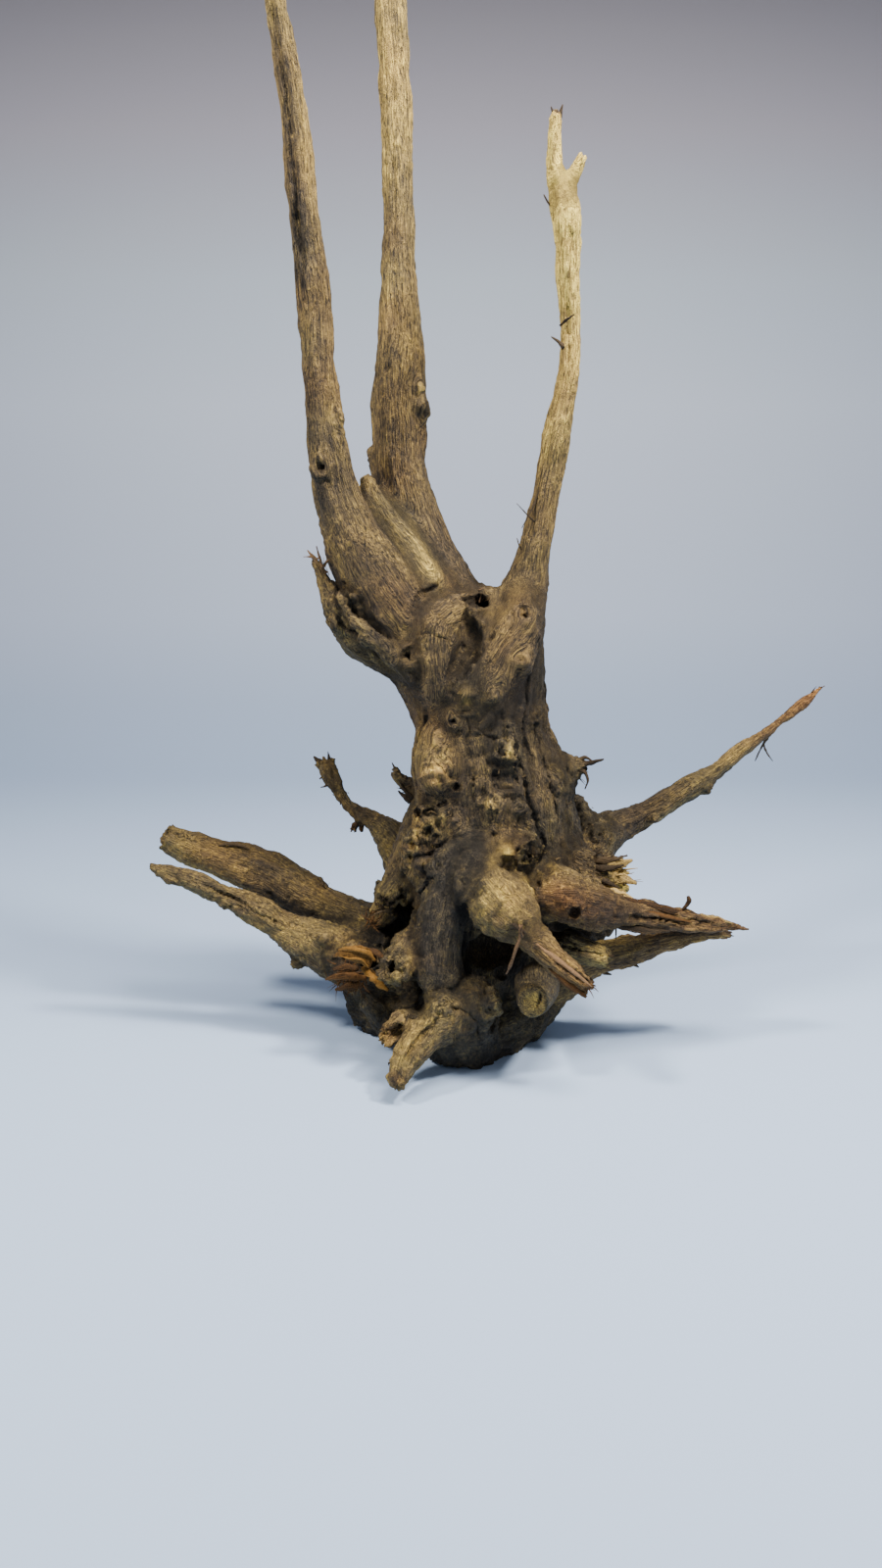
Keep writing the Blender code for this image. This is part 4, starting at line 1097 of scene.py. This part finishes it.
def weathered_wood(settings):
    """Bare weathered root wood. It is matt, and its fibres stand out as fine pale and dark streaks with
    dark flecks where pores and cracks hold grime. Over them lie soft blotches and a fine grit, painted
    shade darkens the hollows, and the wood is a little darker close to the floor."""
    material, tree, shader = matt_material("weathered_wood", 0.82, 0.28)
    grain_in, fibre_in, tone_in, warm_in, shade_and_low_dark_in, lines_in = (
        add_node(tree, "ShaderNodeAttribute", attribute_name=name)
        for name in ("grain", "fibre", "tone", "warm", "dirt", "lines"))
    # The noise is laid out askew, so that its lattice never lines up with the grain.
    flat = add_node(tree, "ShaderNodeTexCoord").outputs["Object"]
    short = add_node(tree, "ShaderNodeVectorMath", {0: fibre_in.outputs["Vector"], 1: (1.0, 1.0, 3.0)},
                     operation="MULTIPLY").outputs[0]
    place, grain, along, along_short = (
        add_node(tree, "ShaderNodeVectorRotate", {"Vector": socket, "Rotation": (0.62, 0.47, 0.91)},
                 rotation_type="EULER_XYZ").outputs[0]
        for socket in (flat, grain_in.outputs["Vector"], fibre_in.outputs["Vector"], short))
    # Fibres are about 1 mm wide and 16 mm long, and pores and short checks 1 mm by 6 mm. Seams are about 3 mm
    # apart. Blotches are 5 to 15 mm across, flakes of bare wood 2 to 5 mm, and grit is under 1 mm.
    fibres, seams, dashes, blotch, grit, scales = (
        add_node(tree, "ShaderNodeTexNoise", {
            "Vector": vector, "Scale": scale, "Detail": detail, "Roughness": roughness}).outputs[0]
        for vector, scale, detail, roughness in (
            (along, 950.0, 2.0, 0.6), (along, 330.0, 1.0, 0.5), (along_short, 900.0, 1.0, 0.5),
            (place, 85.0, 4.0, 0.62), (place, 1000.0, 3.0, 0.7), (place, 260.0, 4.0, 0.68)))
    # The bands that the fibres lie in are 3 mm by 24 mm.
    bands = streaks(tree, place, grain, 0.0030, 0.0110, 13, 0.7)
    middle = add_node(tree, "ShaderNodeMath", {0: seams, 1: 0.5}, operation="SUBTRACT")
    middle = add_node(tree, "ShaderNodeMath", {0: middle.outputs[0]}, operation="ABSOLUTE").outputs[0]
    # Each mark shows where its source, times a gain and shifted, rises above 0, and in full above 1. A
    # crack runs where the seams pass their middle value, and only some of them are open.
    fleck, peel, thin, some = (
        add_node(tree, "ShaderNodeMath", {0: source, 1: gain, 2: shift}, operation="MULTIPLY_ADD",
                 use_clamp=True).outputs[0]
        for source, gain, shift in (
            (dashes, -9.0, 3.9), (scales, 8.0, -3.9), (middle, -34.0, 1.0), (bands, 4.0, -1.5)))
    crack = add_node(tree, "ShaderNodeMath", {0: thin, 1: some}, operation="MULTIPLY").outputs[0]
    # Flakes show most where the fibres show least.
    lines = lines_in.outputs["Fac"]
    bare = add_node(tree, "ShaderNodeMath", {0: 1.15, 1: lines}, operation="SUBTRACT").outputs[0]
    flake = add_node(tree, "ShaderNodeMath", {0: peel, 1: bare}, operation="MULTIPLY").outputs[0]
    # The streaks are added up, then weighed by how clearly the fibres show, then added to the tone.
    line = weighed_sum(tree, -0.60, ((fibres, 1.15), (bands, 0.12), (fleck, -0.19), (crack, -0.22)))
    # The tone is also lowered by the painted shade of the hollows and by the darkening close to the floor.
    tone = weighed_sum(tree, tone_in.outputs["Fac"], (
        (line, lines), (flake, 0.24), (blotch, 0.26), (grit, 0.30), (shade_and_low_dark_in.outputs["Fac"], -0.22)))
    tone = add_node(tree, "ShaderNodeMath", {0: tone, 1: 0.38}, operation="SUBTRACT").outputs[0]
    plain, red = (add_node(tree, "ShaderNodeValToRGB", {"Fac": tone}) for _ in range(2))
    # At the dark end of each ramp lies the painted shade of holes and cracks.
    set_ramp(plain, [(0.0, settings.shade_and_dirt_colour), (0.2, settings.dark_wood), (0.4, settings.brown_wood),
                     (0.6, settings.tan_wood), (0.8, settings.light_wood), (1.0, settings.bare_wood)])
    set_ramp(red, [(0.0, settings.shade_and_dirt_colour), (0.25, settings.red_dark), (0.5, settings.red_middle),
                   (0.75, settings.red_light), (1.0, settings.red_bare)])
    colour = add_node(tree, "ShaderNodeMix",
                      {"Factor": warm_in.outputs["Fac"], 6: plain.outputs["Color"], 7: red.outputs["Color"]},
                      data_type="RGBA")
    # Fibres, grit, flakes and blotches stand out, and flecks and cracks are sunk.
    height = weighed_sum(tree, 0.0, (
        (fibres, 2.2), (fleck, -0.9), (crack, -0.9), (grit, 0.8), (flake, 0.9), (blotch, 0.8)))
    bump = add_node(tree, "ShaderNodeBump", {"Height": height, "Distance": 0.0011, "Strength": 1.0})
    tree.links.new(colour.outputs[2], shader.inputs["Base Color"])
    tree.links.new(bump.outputs["Normal"], shader.inputs["Normal"])
    return material


def torn_wood(name, dark, light):
    """Torn wood fibres. They are matt and stringy, and each strand has its own tone between two, with
    fine streaks and a rough break."""
    material, tree, shader = matt_material(name, 0.85, 0.25)
    place = add_node(tree, "ShaderNodeTexCoord").outputs["Object"]
    tone = add_node(tree, "ShaderNodeAttribute", attribute_name="tone")
    # The streaks are about 1 mm wide.
    noise = add_node(tree, "ShaderNodeTexNoise", {
        "Vector": place, "Scale": 900.0, "Detail": 3.0, "Roughness": 0.6})
    mixed = add_node(tree, "ShaderNodeMath", {0: noise.outputs[0], 1: 1.2, 2: tone.outputs["Fac"]},
                     operation="MULTIPLY_ADD")
    ramp = add_node(tree, "ShaderNodeValToRGB", {"Fac": mixed.outputs[0]})
    set_ramp(ramp, [(0.1, linear(dark)), (0.9, light)])
    bump = add_node(tree, "ShaderNodeBump", {"Height": noise.outputs[0], "Distance": 0.0006, "Strength": 0.8})
    tree.links.new(ramp.outputs["Color"], shader.inputs["Base Color"])
    tree.links.new(bump.outputs["Normal"], shader.inputs["Normal"])
    return material


@functools.lru_cache(maxsize=1)
def wood_shape(voxel):
    """The whole wood as a distance field, and the paths of its limbs: the limbs are joined one by one, each
    with its own fillet, then knots are added and hollows and cracks are cut, and its foot is cut level."""
    paths = {}
    for name, (_, _, _, waypoints) in LIMBS.items():
        middle = float(np.median([w[3] for w in waypoints]))
        paths[name] = smooth_path(waypoints, min(max(0.5 * middle, 5.0), 18.0) * MM)
    spines = np.concatenate(list(paths.values()))
    low = (spines[:, :3] - spines[:, 3:]).min(0) - FIELD_ROOM
    high = (spines[:, :3] + spines[:, 3:]).max(0) + FIELD_ROOM
    low[2] = -FIELD_ROOM
    field = make_field(low, high, voxel)
    for seed, (name, path) in enumerate(paths.items()):
        _, fillet, end, _ = LIMBS[name]
        shaped = path
        if end in ENDS:
            out_way = path[0] - path[1]
            out_way[3] = 0
            out_way /= np.linalg.norm(out_way)
            longer = path[0] + out_way * (path[0, 3] + ENDS[end][0] * MM)
            shaped = np.vstack((longer, path))
        slices, axes, distance = chain_field(field, shaped, fillet * MM + 0.005)
        if end in ENDS:
            break_off(distance, axes, path, end, 100 + seed)
        add_wood(field, slices, distance, fillet * MM)
    grow_knots(field)
    cut_hollows(field)
    cut_cracks(field)
    _, (_, _, z) = window(field, low, high)
    np.maximum(field["value"], FOOT_GAP - z, out=field["value"])
    field["value"][:, :, -1] = FAR
    return field, paths


def shape_detail(settings):
    return settings.voxel * 1.0


def thinned(mesh, limit):
    """The mesh with no more than that many triangles, merged where the skin is flattest."""
    mesh.calc_loop_triangles()
    if len(mesh.loop_triangles) <= limit:
        return mesh
    helper = bpy.data.objects.new("thinning", mesh)
    bpy.context.scene.collection.objects.link(helper)
    fewer = helper.modifiers.new("fewer", "DECIMATE")
    fewer.ratio = limit / len(mesh.loop_triangles)
    graph = bpy.context.evaluated_depsgraph_get()
    result = bpy.data.meshes.new_from_object(helper.evaluated_get(graph))
    bpy.data.objects.remove(helper)
    result.name = mesh.name
    result.shade_smooth()
    return result


def body_labels(count, edges):
    """A label for each vertex, the same all over a connected body: each vertex takes the lowest label of
    its neighbours, and then that label's own, until none changes."""
    label = np.arange(count)
    while True:
        lowest = label.copy()
        least = np.minimum(label[edges[:, 0]], label[edges[:, 1]])
        np.minimum.at(lowest, edges[:, 0], least)
        np.minimum.at(lowest, edges[:, 1], least)
        lowest = lowest[lowest]
        if (lowest == label).all():
            return label
        label = lowest


def without_crumbs(mesh):
    """The mesh without the loose bodies that are too small to be wood."""
    label = body_labels(len(mesh.vertices), mesh_arrays(mesh)[2])
    sizes = np.bincount(label)
    work = bmesh.new()
    work.from_mesh(mesh)
    crumbs = [vertex for vertex, body in zip(work.verts, label) if sizes[body] < CRUMB_SIZE]
    bmesh.ops.delete(work, geom=crumbs, context="VERTS")
    work.to_mesh(mesh)
    work.free()
    return mesh


def build_root(settings):
    """The wood's mesh: the skin of the field, weathered, thinned, freed of crumbs and painted."""
    field, paths = wood_shape(shape_detail(settings))
    mesh = mesh_from("dry_root_wood", *skin_of(field))
    knots = [(seated_feature(field, x, y, z)[0], radius * MM) for _, x, y, z, radius in KNOTS]
    weather_skin(mesh, wood_map(mesh, paths, knots))
    mesh = without_crumbs(thinned(mesh, settings.triangle_limit))
    wood = wood_map(mesh, paths, knots)
    wood["fibre"] = fibre_places(wood["points"], paths, knots)
    paint_skin(mesh, field, wood)
    return mesh


def strand_frames(paths):
    """Across and upward directions at each point of each path, square to the path and to each other."""
    way = unit(np.gradient(paths[:, :, :3], axis=1))
    flat_axis = unit(np.cross(way.mean(axis=1), np.array((0.35, -0.85, 0.4))))
    up = unit(np.cross(flat_axis[:, None, :], way))
    return np.cross(way, up), up


def strand_arrays(paths, flatness, sides=6):
    """Tapered strips along many paths at once: round each path's points stands a ring whose height is
    its width times the flatness, and a point closes each end. Paths is strands by points by x, y, z and
    radius."""
    count, length = paths.shape[:2]
    wide, up = strand_frames(paths)
    turn = np.linspace(0, 2 * math.pi, sides, endpoint=False)
    radius = paths[:, :, 3, None, None]
    ring = wide[:, :, None] * np.cos(turn)[:, None] * radius
    ring = ring + up[:, :, None] * np.sin(turn)[:, None] * radius * flatness
    rings = paths[:, :, None, :3] + ring
    rough = lattice_noise(rings.reshape(-1, 3), 0.0025, 61).reshape(count, length, sides, 1)
    rings = rings + ring * rough * 0.45
    points = np.concatenate((rings.reshape(count, -1, 3), paths[:, :1, :3], paths[:, -1:, :3]), axis=1)
    i, j = np.meshgrid(np.arange(length - 1), np.arange(sides), indexing="ij")
    a, b = (i * sides + j).ravel(), (i * sides + (j + 1) % sides).ravel()
    around = np.arange(sides)
    first, last = length * sides, length * sides + 1
    end = (length - 1) * sides
    faces = np.concatenate((
        np.stack((b, a, b + sides), 1), np.stack((b + sides, a, a + sides), 1),
        np.stack(((around + 1) % sides, np.full(sides, first), around), 1),
        np.stack((end + around, np.full(sides, last), end + (around + 1) % sides), 1)))
    faces = faces + (np.arange(count) * points.shape[1])[:, None, None]
    return points.reshape(-1, 3), faces.reshape(-1, 3)


def fibre_bundle(path, flatness, rng):
    """Splits a flat strip into the fibres that it is made of: each follows the strip from a random start
    to a random end, at its own distance across and above it, and waves a little."""
    count = int(np.clip(path[:, 3].max() / 0.0002, 4, 26))
    wide, up = strand_frames(path[None])
    t = np.linspace(0, 1, len(path))[None]
    at = rng.uniform(0, 0.22, (count, 1)) * (1 - t) + rng.uniform(0.65, 1.0, (count, 1)) * t
    at = at * (len(path) - 1)
    i = np.minimum(at.astype(int), len(path) - 2)
    f = (at - i)[:, :, None]
    line = path[i] * (1 - f) + path[i + 1] * f
    side = rng.uniform(-0.85, 0.85, (count, 1, 1))
    side = side + 0.25 * np.sin(9 * t + rng.uniform(0, 6, (count, 1)))[:, :, None]
    lift = rng.uniform(-0.5, 0.5, (count, 1, 1)) * (1 + t[:, :, None])
    width = line[:, :, 3:]
    line[:, :, :3] += width * (side * wide[0][i] + lift * flatness * up[0][i])
    swell = np.sin(math.pi * (0.08 + 0.88 * t))[:, :, None] ** 0.6
    line[:, :, 3:] = np.maximum(width * rng.uniform(0.07, 0.2, (count, 1, 1)) * swell, 0.00015)
    return line


def tuft_paths(root, direction, count, length, width, spread_way, spread_root, rng, points=7):
    """Torn fibres from one place: each leaves in the given direction plus a random part, bends one way
    as the square of the distance gone, and narrows to its tip."""
    start = placed(*root) + rng.normal(0, 0.5 * spread_root * MM, (count, 3))
    way = unit(np.array(direction) + rng.normal(0, 0.6 * spread_way, (count, 3)))
    bend = rng.normal(0, 0.5, (count, 3))
    reach = length * MM * rng.uniform(0.45, 1.35, (count, 1, 1))
    t = np.linspace(0, 1, points)[None, :, None]
    line = start[:, None] + reach * (way[:, None] * (t - 0.25) + bend[:, None] * t**2 * 0.5)
    size = width * MM * rng.uniform(0.4, 1.1, (count, 1, 1)) * (1 - 0.85 * t) * np.minimum(1, 0.6 + 2 * t)
    paths = np.concatenate((line, size), axis=2)
    return paths[paths[:, :, 2].min(axis=1) > LOOSE_GAP]


def crust_paths(field, rng, points=5):
    """Slivers of bark that lie almost flat on the rough patches: each starts on the skin and leaves it
    at a low angle."""
    groups = []
    for x, y, z, radius, strength in CRUSTS:
        count = int(0.12 * strength * radius**1.6)
        start = seat(field, placed(x, y, z) + rng.normal(0, 0.5 * radius * MM, (count, 3)))
        out_way = field_slope(field, start)
        aside = np.cross(out_way, rng.normal(0, 1, (count, 3)) + np.array((0, 0, 0.9)))
        way = unit(np.cross(aside, out_way)) + out_way * rng.uniform(0.0, 0.5, (count, 1))
        reach = MM * rng.uniform(2.5, 6.5, (count, 1, 1))
        t = np.linspace(0, 1, points)[None, :, None]
        line = start[:, None] + reach * way[:, None] * (t - 0.3)
        size = MM * rng.uniform(0.35, 0.9, (count, 1, 1)) * (1.05 - t)
        groups.append(np.concatenate((line, size), axis=2))
    paths = np.concatenate(groups)
    return paths[paths[:, :, 2].min(axis=1) > LOOSE_GAP]


def strand_piece(name, groups, material, seed):
    """One mesh from groups of (paths, flatness), with a random tone for each strand."""
    rng = np.random.default_rng(seed)
    all_points, all_faces, tones = [], [], []
    total = 0
    for paths, flatness in groups:
        points, faces = strand_arrays(paths, flatness)
        all_points.append(points)
        all_faces.append(faces + total)
        total += len(points)
        tones.append(np.repeat(rng.uniform(-0.35, 0.15, len(paths)), len(points) // len(paths)))
    mesh = mesh_from(name, np.concatenate(all_points), np.concatenate(all_faces))
    layer = mesh.attributes.new("tone", "FLOAT", "POINT")
    layer.data.foreach_set("value", np.concatenate(tones).astype(np.float32))
    return new_piece(name, mesh, material)


# The kinds of torn wood: (name of the piece, name of the finish, darkest colour).
TORN_KINDS = {
    "dark": ("dark_fibres", "dark_torn_fibres", "#120d08"),
    "red": ("red_torn_strips", "red_torn_wood", "#17100a"),
    "curl": ("curled_strips", "ochre_torn_wood", "#2a1b0c"),
    "pale": ("pale_splinters", "pale_fresh_splinters", "#4a3a1e"),
    "twig": ("rootlets", "thin_root_skin", "#2e2216"),
}


def build_fibres(settings):
    """Every strand and tuft, joined in one mesh for each kind of torn wood, and the bark slivers."""
    rng = np.random.default_rng(7)
    groups = {kind: [] for kind in TORN_KINDS}
    for kind, flatness, waypoints in STRANDS:
        path = smooth_path(waypoints, 1, count=14)
        groups[kind].append((path[None], flatness))
        if flatness < 0.6 and path[:, 3].max() > 0.0016:
            groups[kind].append((fibre_bundle(path, flatness, rng), 0.8))
    for kind, x, y, z, dx, dy, dz, count, length, width, way, root in TUFTS:
        paths = tuft_paths((x, y, z), (dx, dy, dz), count, length, width, way, root, rng)
        groups[kind].append((paths, 0.55))
    for kind, (piece, finish, dark) in TORN_KINDS.items():
        light = getattr(settings, kind + "_fibres")
        strand_piece(piece, groups[kind], torn_wood(finish, dark, light), 71)
    field, _ = wood_shape(shape_detail(settings))
    slivers = [(crust_paths(field, rng), 0.3)]
    bark = torn_wood("bark_remains", "#1a140d", settings.bark_slivers)
    strand_piece("bark_slivers", slivers, bark, 74)


def sweep_mesh(settings):
    """Floor and wall in one sheet: a profile of a straight floor, a quarter circle and a straight wall,
    carried along X."""
    bend = np.linspace(0, math.pi / 2, 25)
    radius, back = settings.bend_radius, settings.wall_distance
    y = np.concatenate(([-STUDIO_REACH], back - radius + radius * np.sin(bend), [back]))
    z = np.concatenate(([0.0], radius - radius * np.cos(bend), [STUDIO_REACH]))
    x = np.linspace(-STUDIO_REACH, STUDIO_REACH, 9)
    points = np.stack(np.broadcast_arrays(x[:, None], y[None], z[None]), 2).reshape(-1, 3)
    i, j = np.meshgrid(np.arange(len(x) - 1), np.arange(len(y) - 1), indexing="ij")
    a = (i * len(y) + j).ravel()
    faces = np.stack((a, a + len(y), a + len(y) + 1, a + 1), 1)
    return mesh_from("studio_sweep", points, faces)


def backdrop_paper(settings):
    """Matt bluish backdrop paper with painted light and shade by height: paler up to about 0.7 m, then a
    little darker and greyer up the wall.
    """
    material, tree, shader = matt_material("backdrop_paper", 0.95, 0.1)
    place = add_node(tree, "ShaderNodeTexCoord").outputs["Object"]
    split = add_node(tree, "ShaderNodeSeparateXYZ", {"Vector": place})
    share = add_node(tree, "ShaderNodeMath", {0: split.outputs["Z"], 1: 0.5}, operation="MULTIPLY")
    ramp = add_node(tree, "ShaderNodeValToRGB", {"Fac": share.outputs[0]})
    # Painted light and shade: the stops make the paper paler up to about 0.7 m, then darker and greyer higher
    # up the wall.
    between = ((0.04, "#b4c9e8"), (0.12, "#c8d8f2"), (0.36, "#dde8f8"), (0.5, "#d6e0ea"), (0.66, "#c4c0c8"))
    set_ramp(ramp, [(0.0, settings.floor_colour), *((at, linear(colour)) for at, colour in between),
                    (0.8, settings.wall_top_shade_colour)])
    tree.links.new(ramp.outputs["Color"], shader.inputs["Base Color"])
    return material


def add_light(name, place, aim, size, power, colour):
    """A round area lamp that looks at a point."""
    data = bpy.data.lights.new(name, "AREA")
    data.shape = "DISK"
    data.size = size
    data.energy = power
    data.color = colour[:3]
    light = bpy.data.objects.new(name, data)
    light.location = place
    turn = np.array(aim, float) - np.array(place, float)
    light.rotation_euler = (
        math.atan2(math.hypot(turn[0], turn[1]), -turn[2]), 0.0, math.atan2(turn[0], -turn[1]) + math.pi)
    bpy.context.scene.collection.objects.link(light)


def add_lamps(settings):
    """One round lamp at each side and a larger one overhead."""
    side, above = settings.side_power, settings.top_power
    for name, place, aim_height, size, power in (
            ("left_lamp", (-0.85, -0.45, 1.2), 0.45, 0.2, side),
            ("right_lamp", (0.72, -0.42, 1.3), 0.45, 0.2, side * 1.3),
            ("top_lamp", (0.22, -0.3, 1.32), 0.3, 0.45, above)):
        add_light(name, place, (0.0, 0.0, aim_height), size, power, settings.lamp_colour)


def add_camera():
    """A camera with a short lens close to the root, a little above its middle and tipped down."""
    data = bpy.data.cameras.new("camera")
    data.lens = 26.0
    data.sensor_width = 36.0
    camera = bpy.data.objects.new("camera", data)
    camera.location = (-0.0510, -0.9225, 0.40)
    camera.rotation_euler = (math.radians(78.0), 0.0, 0.0)
    bpy.context.scene.collection.objects.link(camera)
    bpy.context.scene.camera = camera


def colour_setting(name, description, hex_colour):
    """A colour that the user can set, with its default given as sRGB hex."""
    return FloatVectorProperty(
        name=name, description=description, default=linear(hex_colour), subtype="COLOR", size=4, min=0, max=1)


class DryRootSettings(bpy.types.PropertyGroup):
    """Sizes and colours of the root."""

    voxel: FloatProperty(
        name="Detail", description="Spacing of the samples that the wood's skin is drawn from",
        default=0.0014, min=0.001, subtype="DISTANCE", unit="LENGTH")
    triangle_limit: IntProperty(
        name="Triangles", description="Most triangles that the wood may have", default=192000, min=1000)
    # Darkest colour of both wood ramps. Painted shade in holes and cracks takes the wood down to it, as do
    # the darkest flecks and cracks.
    shade_and_dirt_colour: colour_setting("Dirt", "Wood in holes and cracks", "#1c1916")
    dark_wood: colour_setting("Dark wood", "Dirty wood near the floor", "#342f27")
    brown_wood: colour_setting("Brown wood", "Wood of the trunk", "#534934")
    tan_wood: colour_setting("Tan wood", "Wood of the roots and the lower stems", "#806f43")
    light_wood: colour_setting("Light wood", "Wood of the upper stems", "#b99e52")
    bare_wood: colour_setting("Bare wood", "Sun-bleached wood of the stem tips", "#ffe374")
    red_dark: colour_setting("Dark red wood", "Darkest inner wood", "#462c19")
    red_middle: colour_setting("Red wood", "Inner wood", "#80552f")
    red_light: colour_setting("Light red wood", "Lighter inner wood", "#b37e42")
    red_bare: colour_setting("Palest red wood", "Freshly torn inner wood", "#dcb46c")
    dark_fibres: colour_setting("Dark fibres", "Lightest tone of the dark fibres", "#4e3f2b")
    red_fibres: colour_setting("Red fibres", "Lightest tone of the red torn strips", "#64441f")
    curl_fibres: colour_setting("Ochre fibres", "Lightest tone of the curled strips", "#8c6428")
    pale_fibres: colour_setting("Pale fibres", "Lightest tone of the splinters", "#c2a666")
    twig_fibres: colour_setting("Rootlets", "Lightest tone of the thin rootlets", "#86694a")
    bark_slivers: colour_setting("Bark", "Lightest tone of the bark's remains", "#6d5a3b")


class StudioSettings(bpy.types.PropertyGroup):
    """Sizes and colours of the backdrop and its lights."""

    wall_distance: FloatProperty(
        name="Wall distance", description="How far the backdrop's wall stands behind the root",
        default=1.9, subtype="DISTANCE", unit="LENGTH")
    bend_radius: FloatProperty(
        name="Bend radius", description="Radius of the backdrop's bend from floor to wall",
        default=0.9, subtype="DISTANCE", unit="LENGTH")
    side_power: FloatProperty(
        name="Side lights", description="Power of each lamp at the sides",
        default=21.0, subtype="POWER", unit="POWER")
    top_power: FloatProperty(
        name="Top light", description="Power of the lamp overhead",
        default=17.0, subtype="POWER", unit="POWER")
    lamp_colour: colour_setting("Lamp colour", "Colour of the light of the lamps", "#fff6ea")
    sky: colour_setting("Ambient", "Colour of the light from all round", "#f7f8ff")
    sky_strength: FloatProperty(
        name="Ambient strength", description="Strength of the light from all round", default=0.32)
    floor_colour: colour_setting("Floor", "Colour of the backdrop on the floor", "#aec6e8")
    # Darker grey, which is painted shade high on the wall.
    wall_top_shade_colour: colour_setting("Wall top", "Colour of the backdrop high on the wall", "#a09ca2")


class DRYROOT_OT_wood(bpy.types.Operator):
    """Builds the root's one piece of wood"""

    bl_idname = "dryroot.wood"
    bl_label = "Root wood"

    def execute(self, context):
        mesh = build_root(context.scene.dry_root)
        wood = new_piece("root_wood", mesh, weathered_wood(context.scene.dry_root))
        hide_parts("dry_root")
        return {"FINISHED"}


class DRYROOT_OT_fibres(bpy.types.Operator):
    """Builds the torn fibres, strips and splinters at the broken ends, and the bark's remains"""

    bl_idname = "dryroot.fibres"
    bl_label = "Torn fibres"

    def execute(self, context):
        build_fibres(context.scene.dry_root)
        return {"FINISHED"}


class DRYROOT_OT_studio(bpy.types.Operator):
    """Builds the floor, the backdrop, the lights and the camera"""

    bl_idname = "dryroot.studio"
    bl_label = "Studio"

    def execute(self, context):
        settings = context.scene.dry_root_studio
        floor = bpy.data.objects.new("studio_sweep", sweep_mesh(settings))
        context.scene.collection.objects.link(floor)
        floor.data.materials.append(backdrop_paper(settings))
        add_lamps(settings)
        world = bpy.data.worlds.new("studio_air")
        world.use_nodes = True
        air = world.node_tree.nodes["Background"]
        air.inputs["Color"].default_value = settings.sky
        air.inputs["Strength"].default_value = settings.sky_strength
        context.scene.world = world
        add_camera()
        return {"FINISHED"}


class DRYROOT_PT_panel(bpy.types.Panel):
    """All settings, and a button for each operator"""

    bl_idname = "DRYROOT_PT_panel"
    bl_label = "Dry Root"
    bl_space_type = "VIEW_3D"
    bl_region_type = "UI"
    bl_category = "Dry Root"

    def draw(self, context):
        for group in (context.scene.dry_root, context.scene.dry_root_studio):
            for name in group.__annotations__:
                self.layout.prop(group, name)
        for operator in OPERATORS:
            self.layout.operator(operator.bl_idname)


OPERATORS = (DRYROOT_OT_wood, DRYROOT_OT_fibres, DRYROOT_OT_studio)
CLASSES = (DryRootSettings, StudioSettings, *OPERATORS, DRYROOT_PT_panel)


def register():
    """Makes the classes known, and gives each scene its settings."""
    for each in CLASSES:
        bpy.utils.register_class(each)
    bpy.types.Scene.dry_root = PointerProperty(type=DryRootSettings)
    bpy.types.Scene.dry_root_studio = PointerProperty(type=StudioSettings)


def unregister():
    """Undoes what register does, in reverse order."""
    del bpy.types.Scene.dry_root_studio
    del bpy.types.Scene.dry_root
    for each in reversed(CLASSES):
        bpy.utils.unregister_class(each)


def main():
    """Builds the root, its fibres and the studio."""
    register()
    bpy.ops.dryroot.wood()
    bpy.ops.dryroot.fibres()
    bpy.ops.dryroot.studio()


if __name__ == "__main__":
    main()
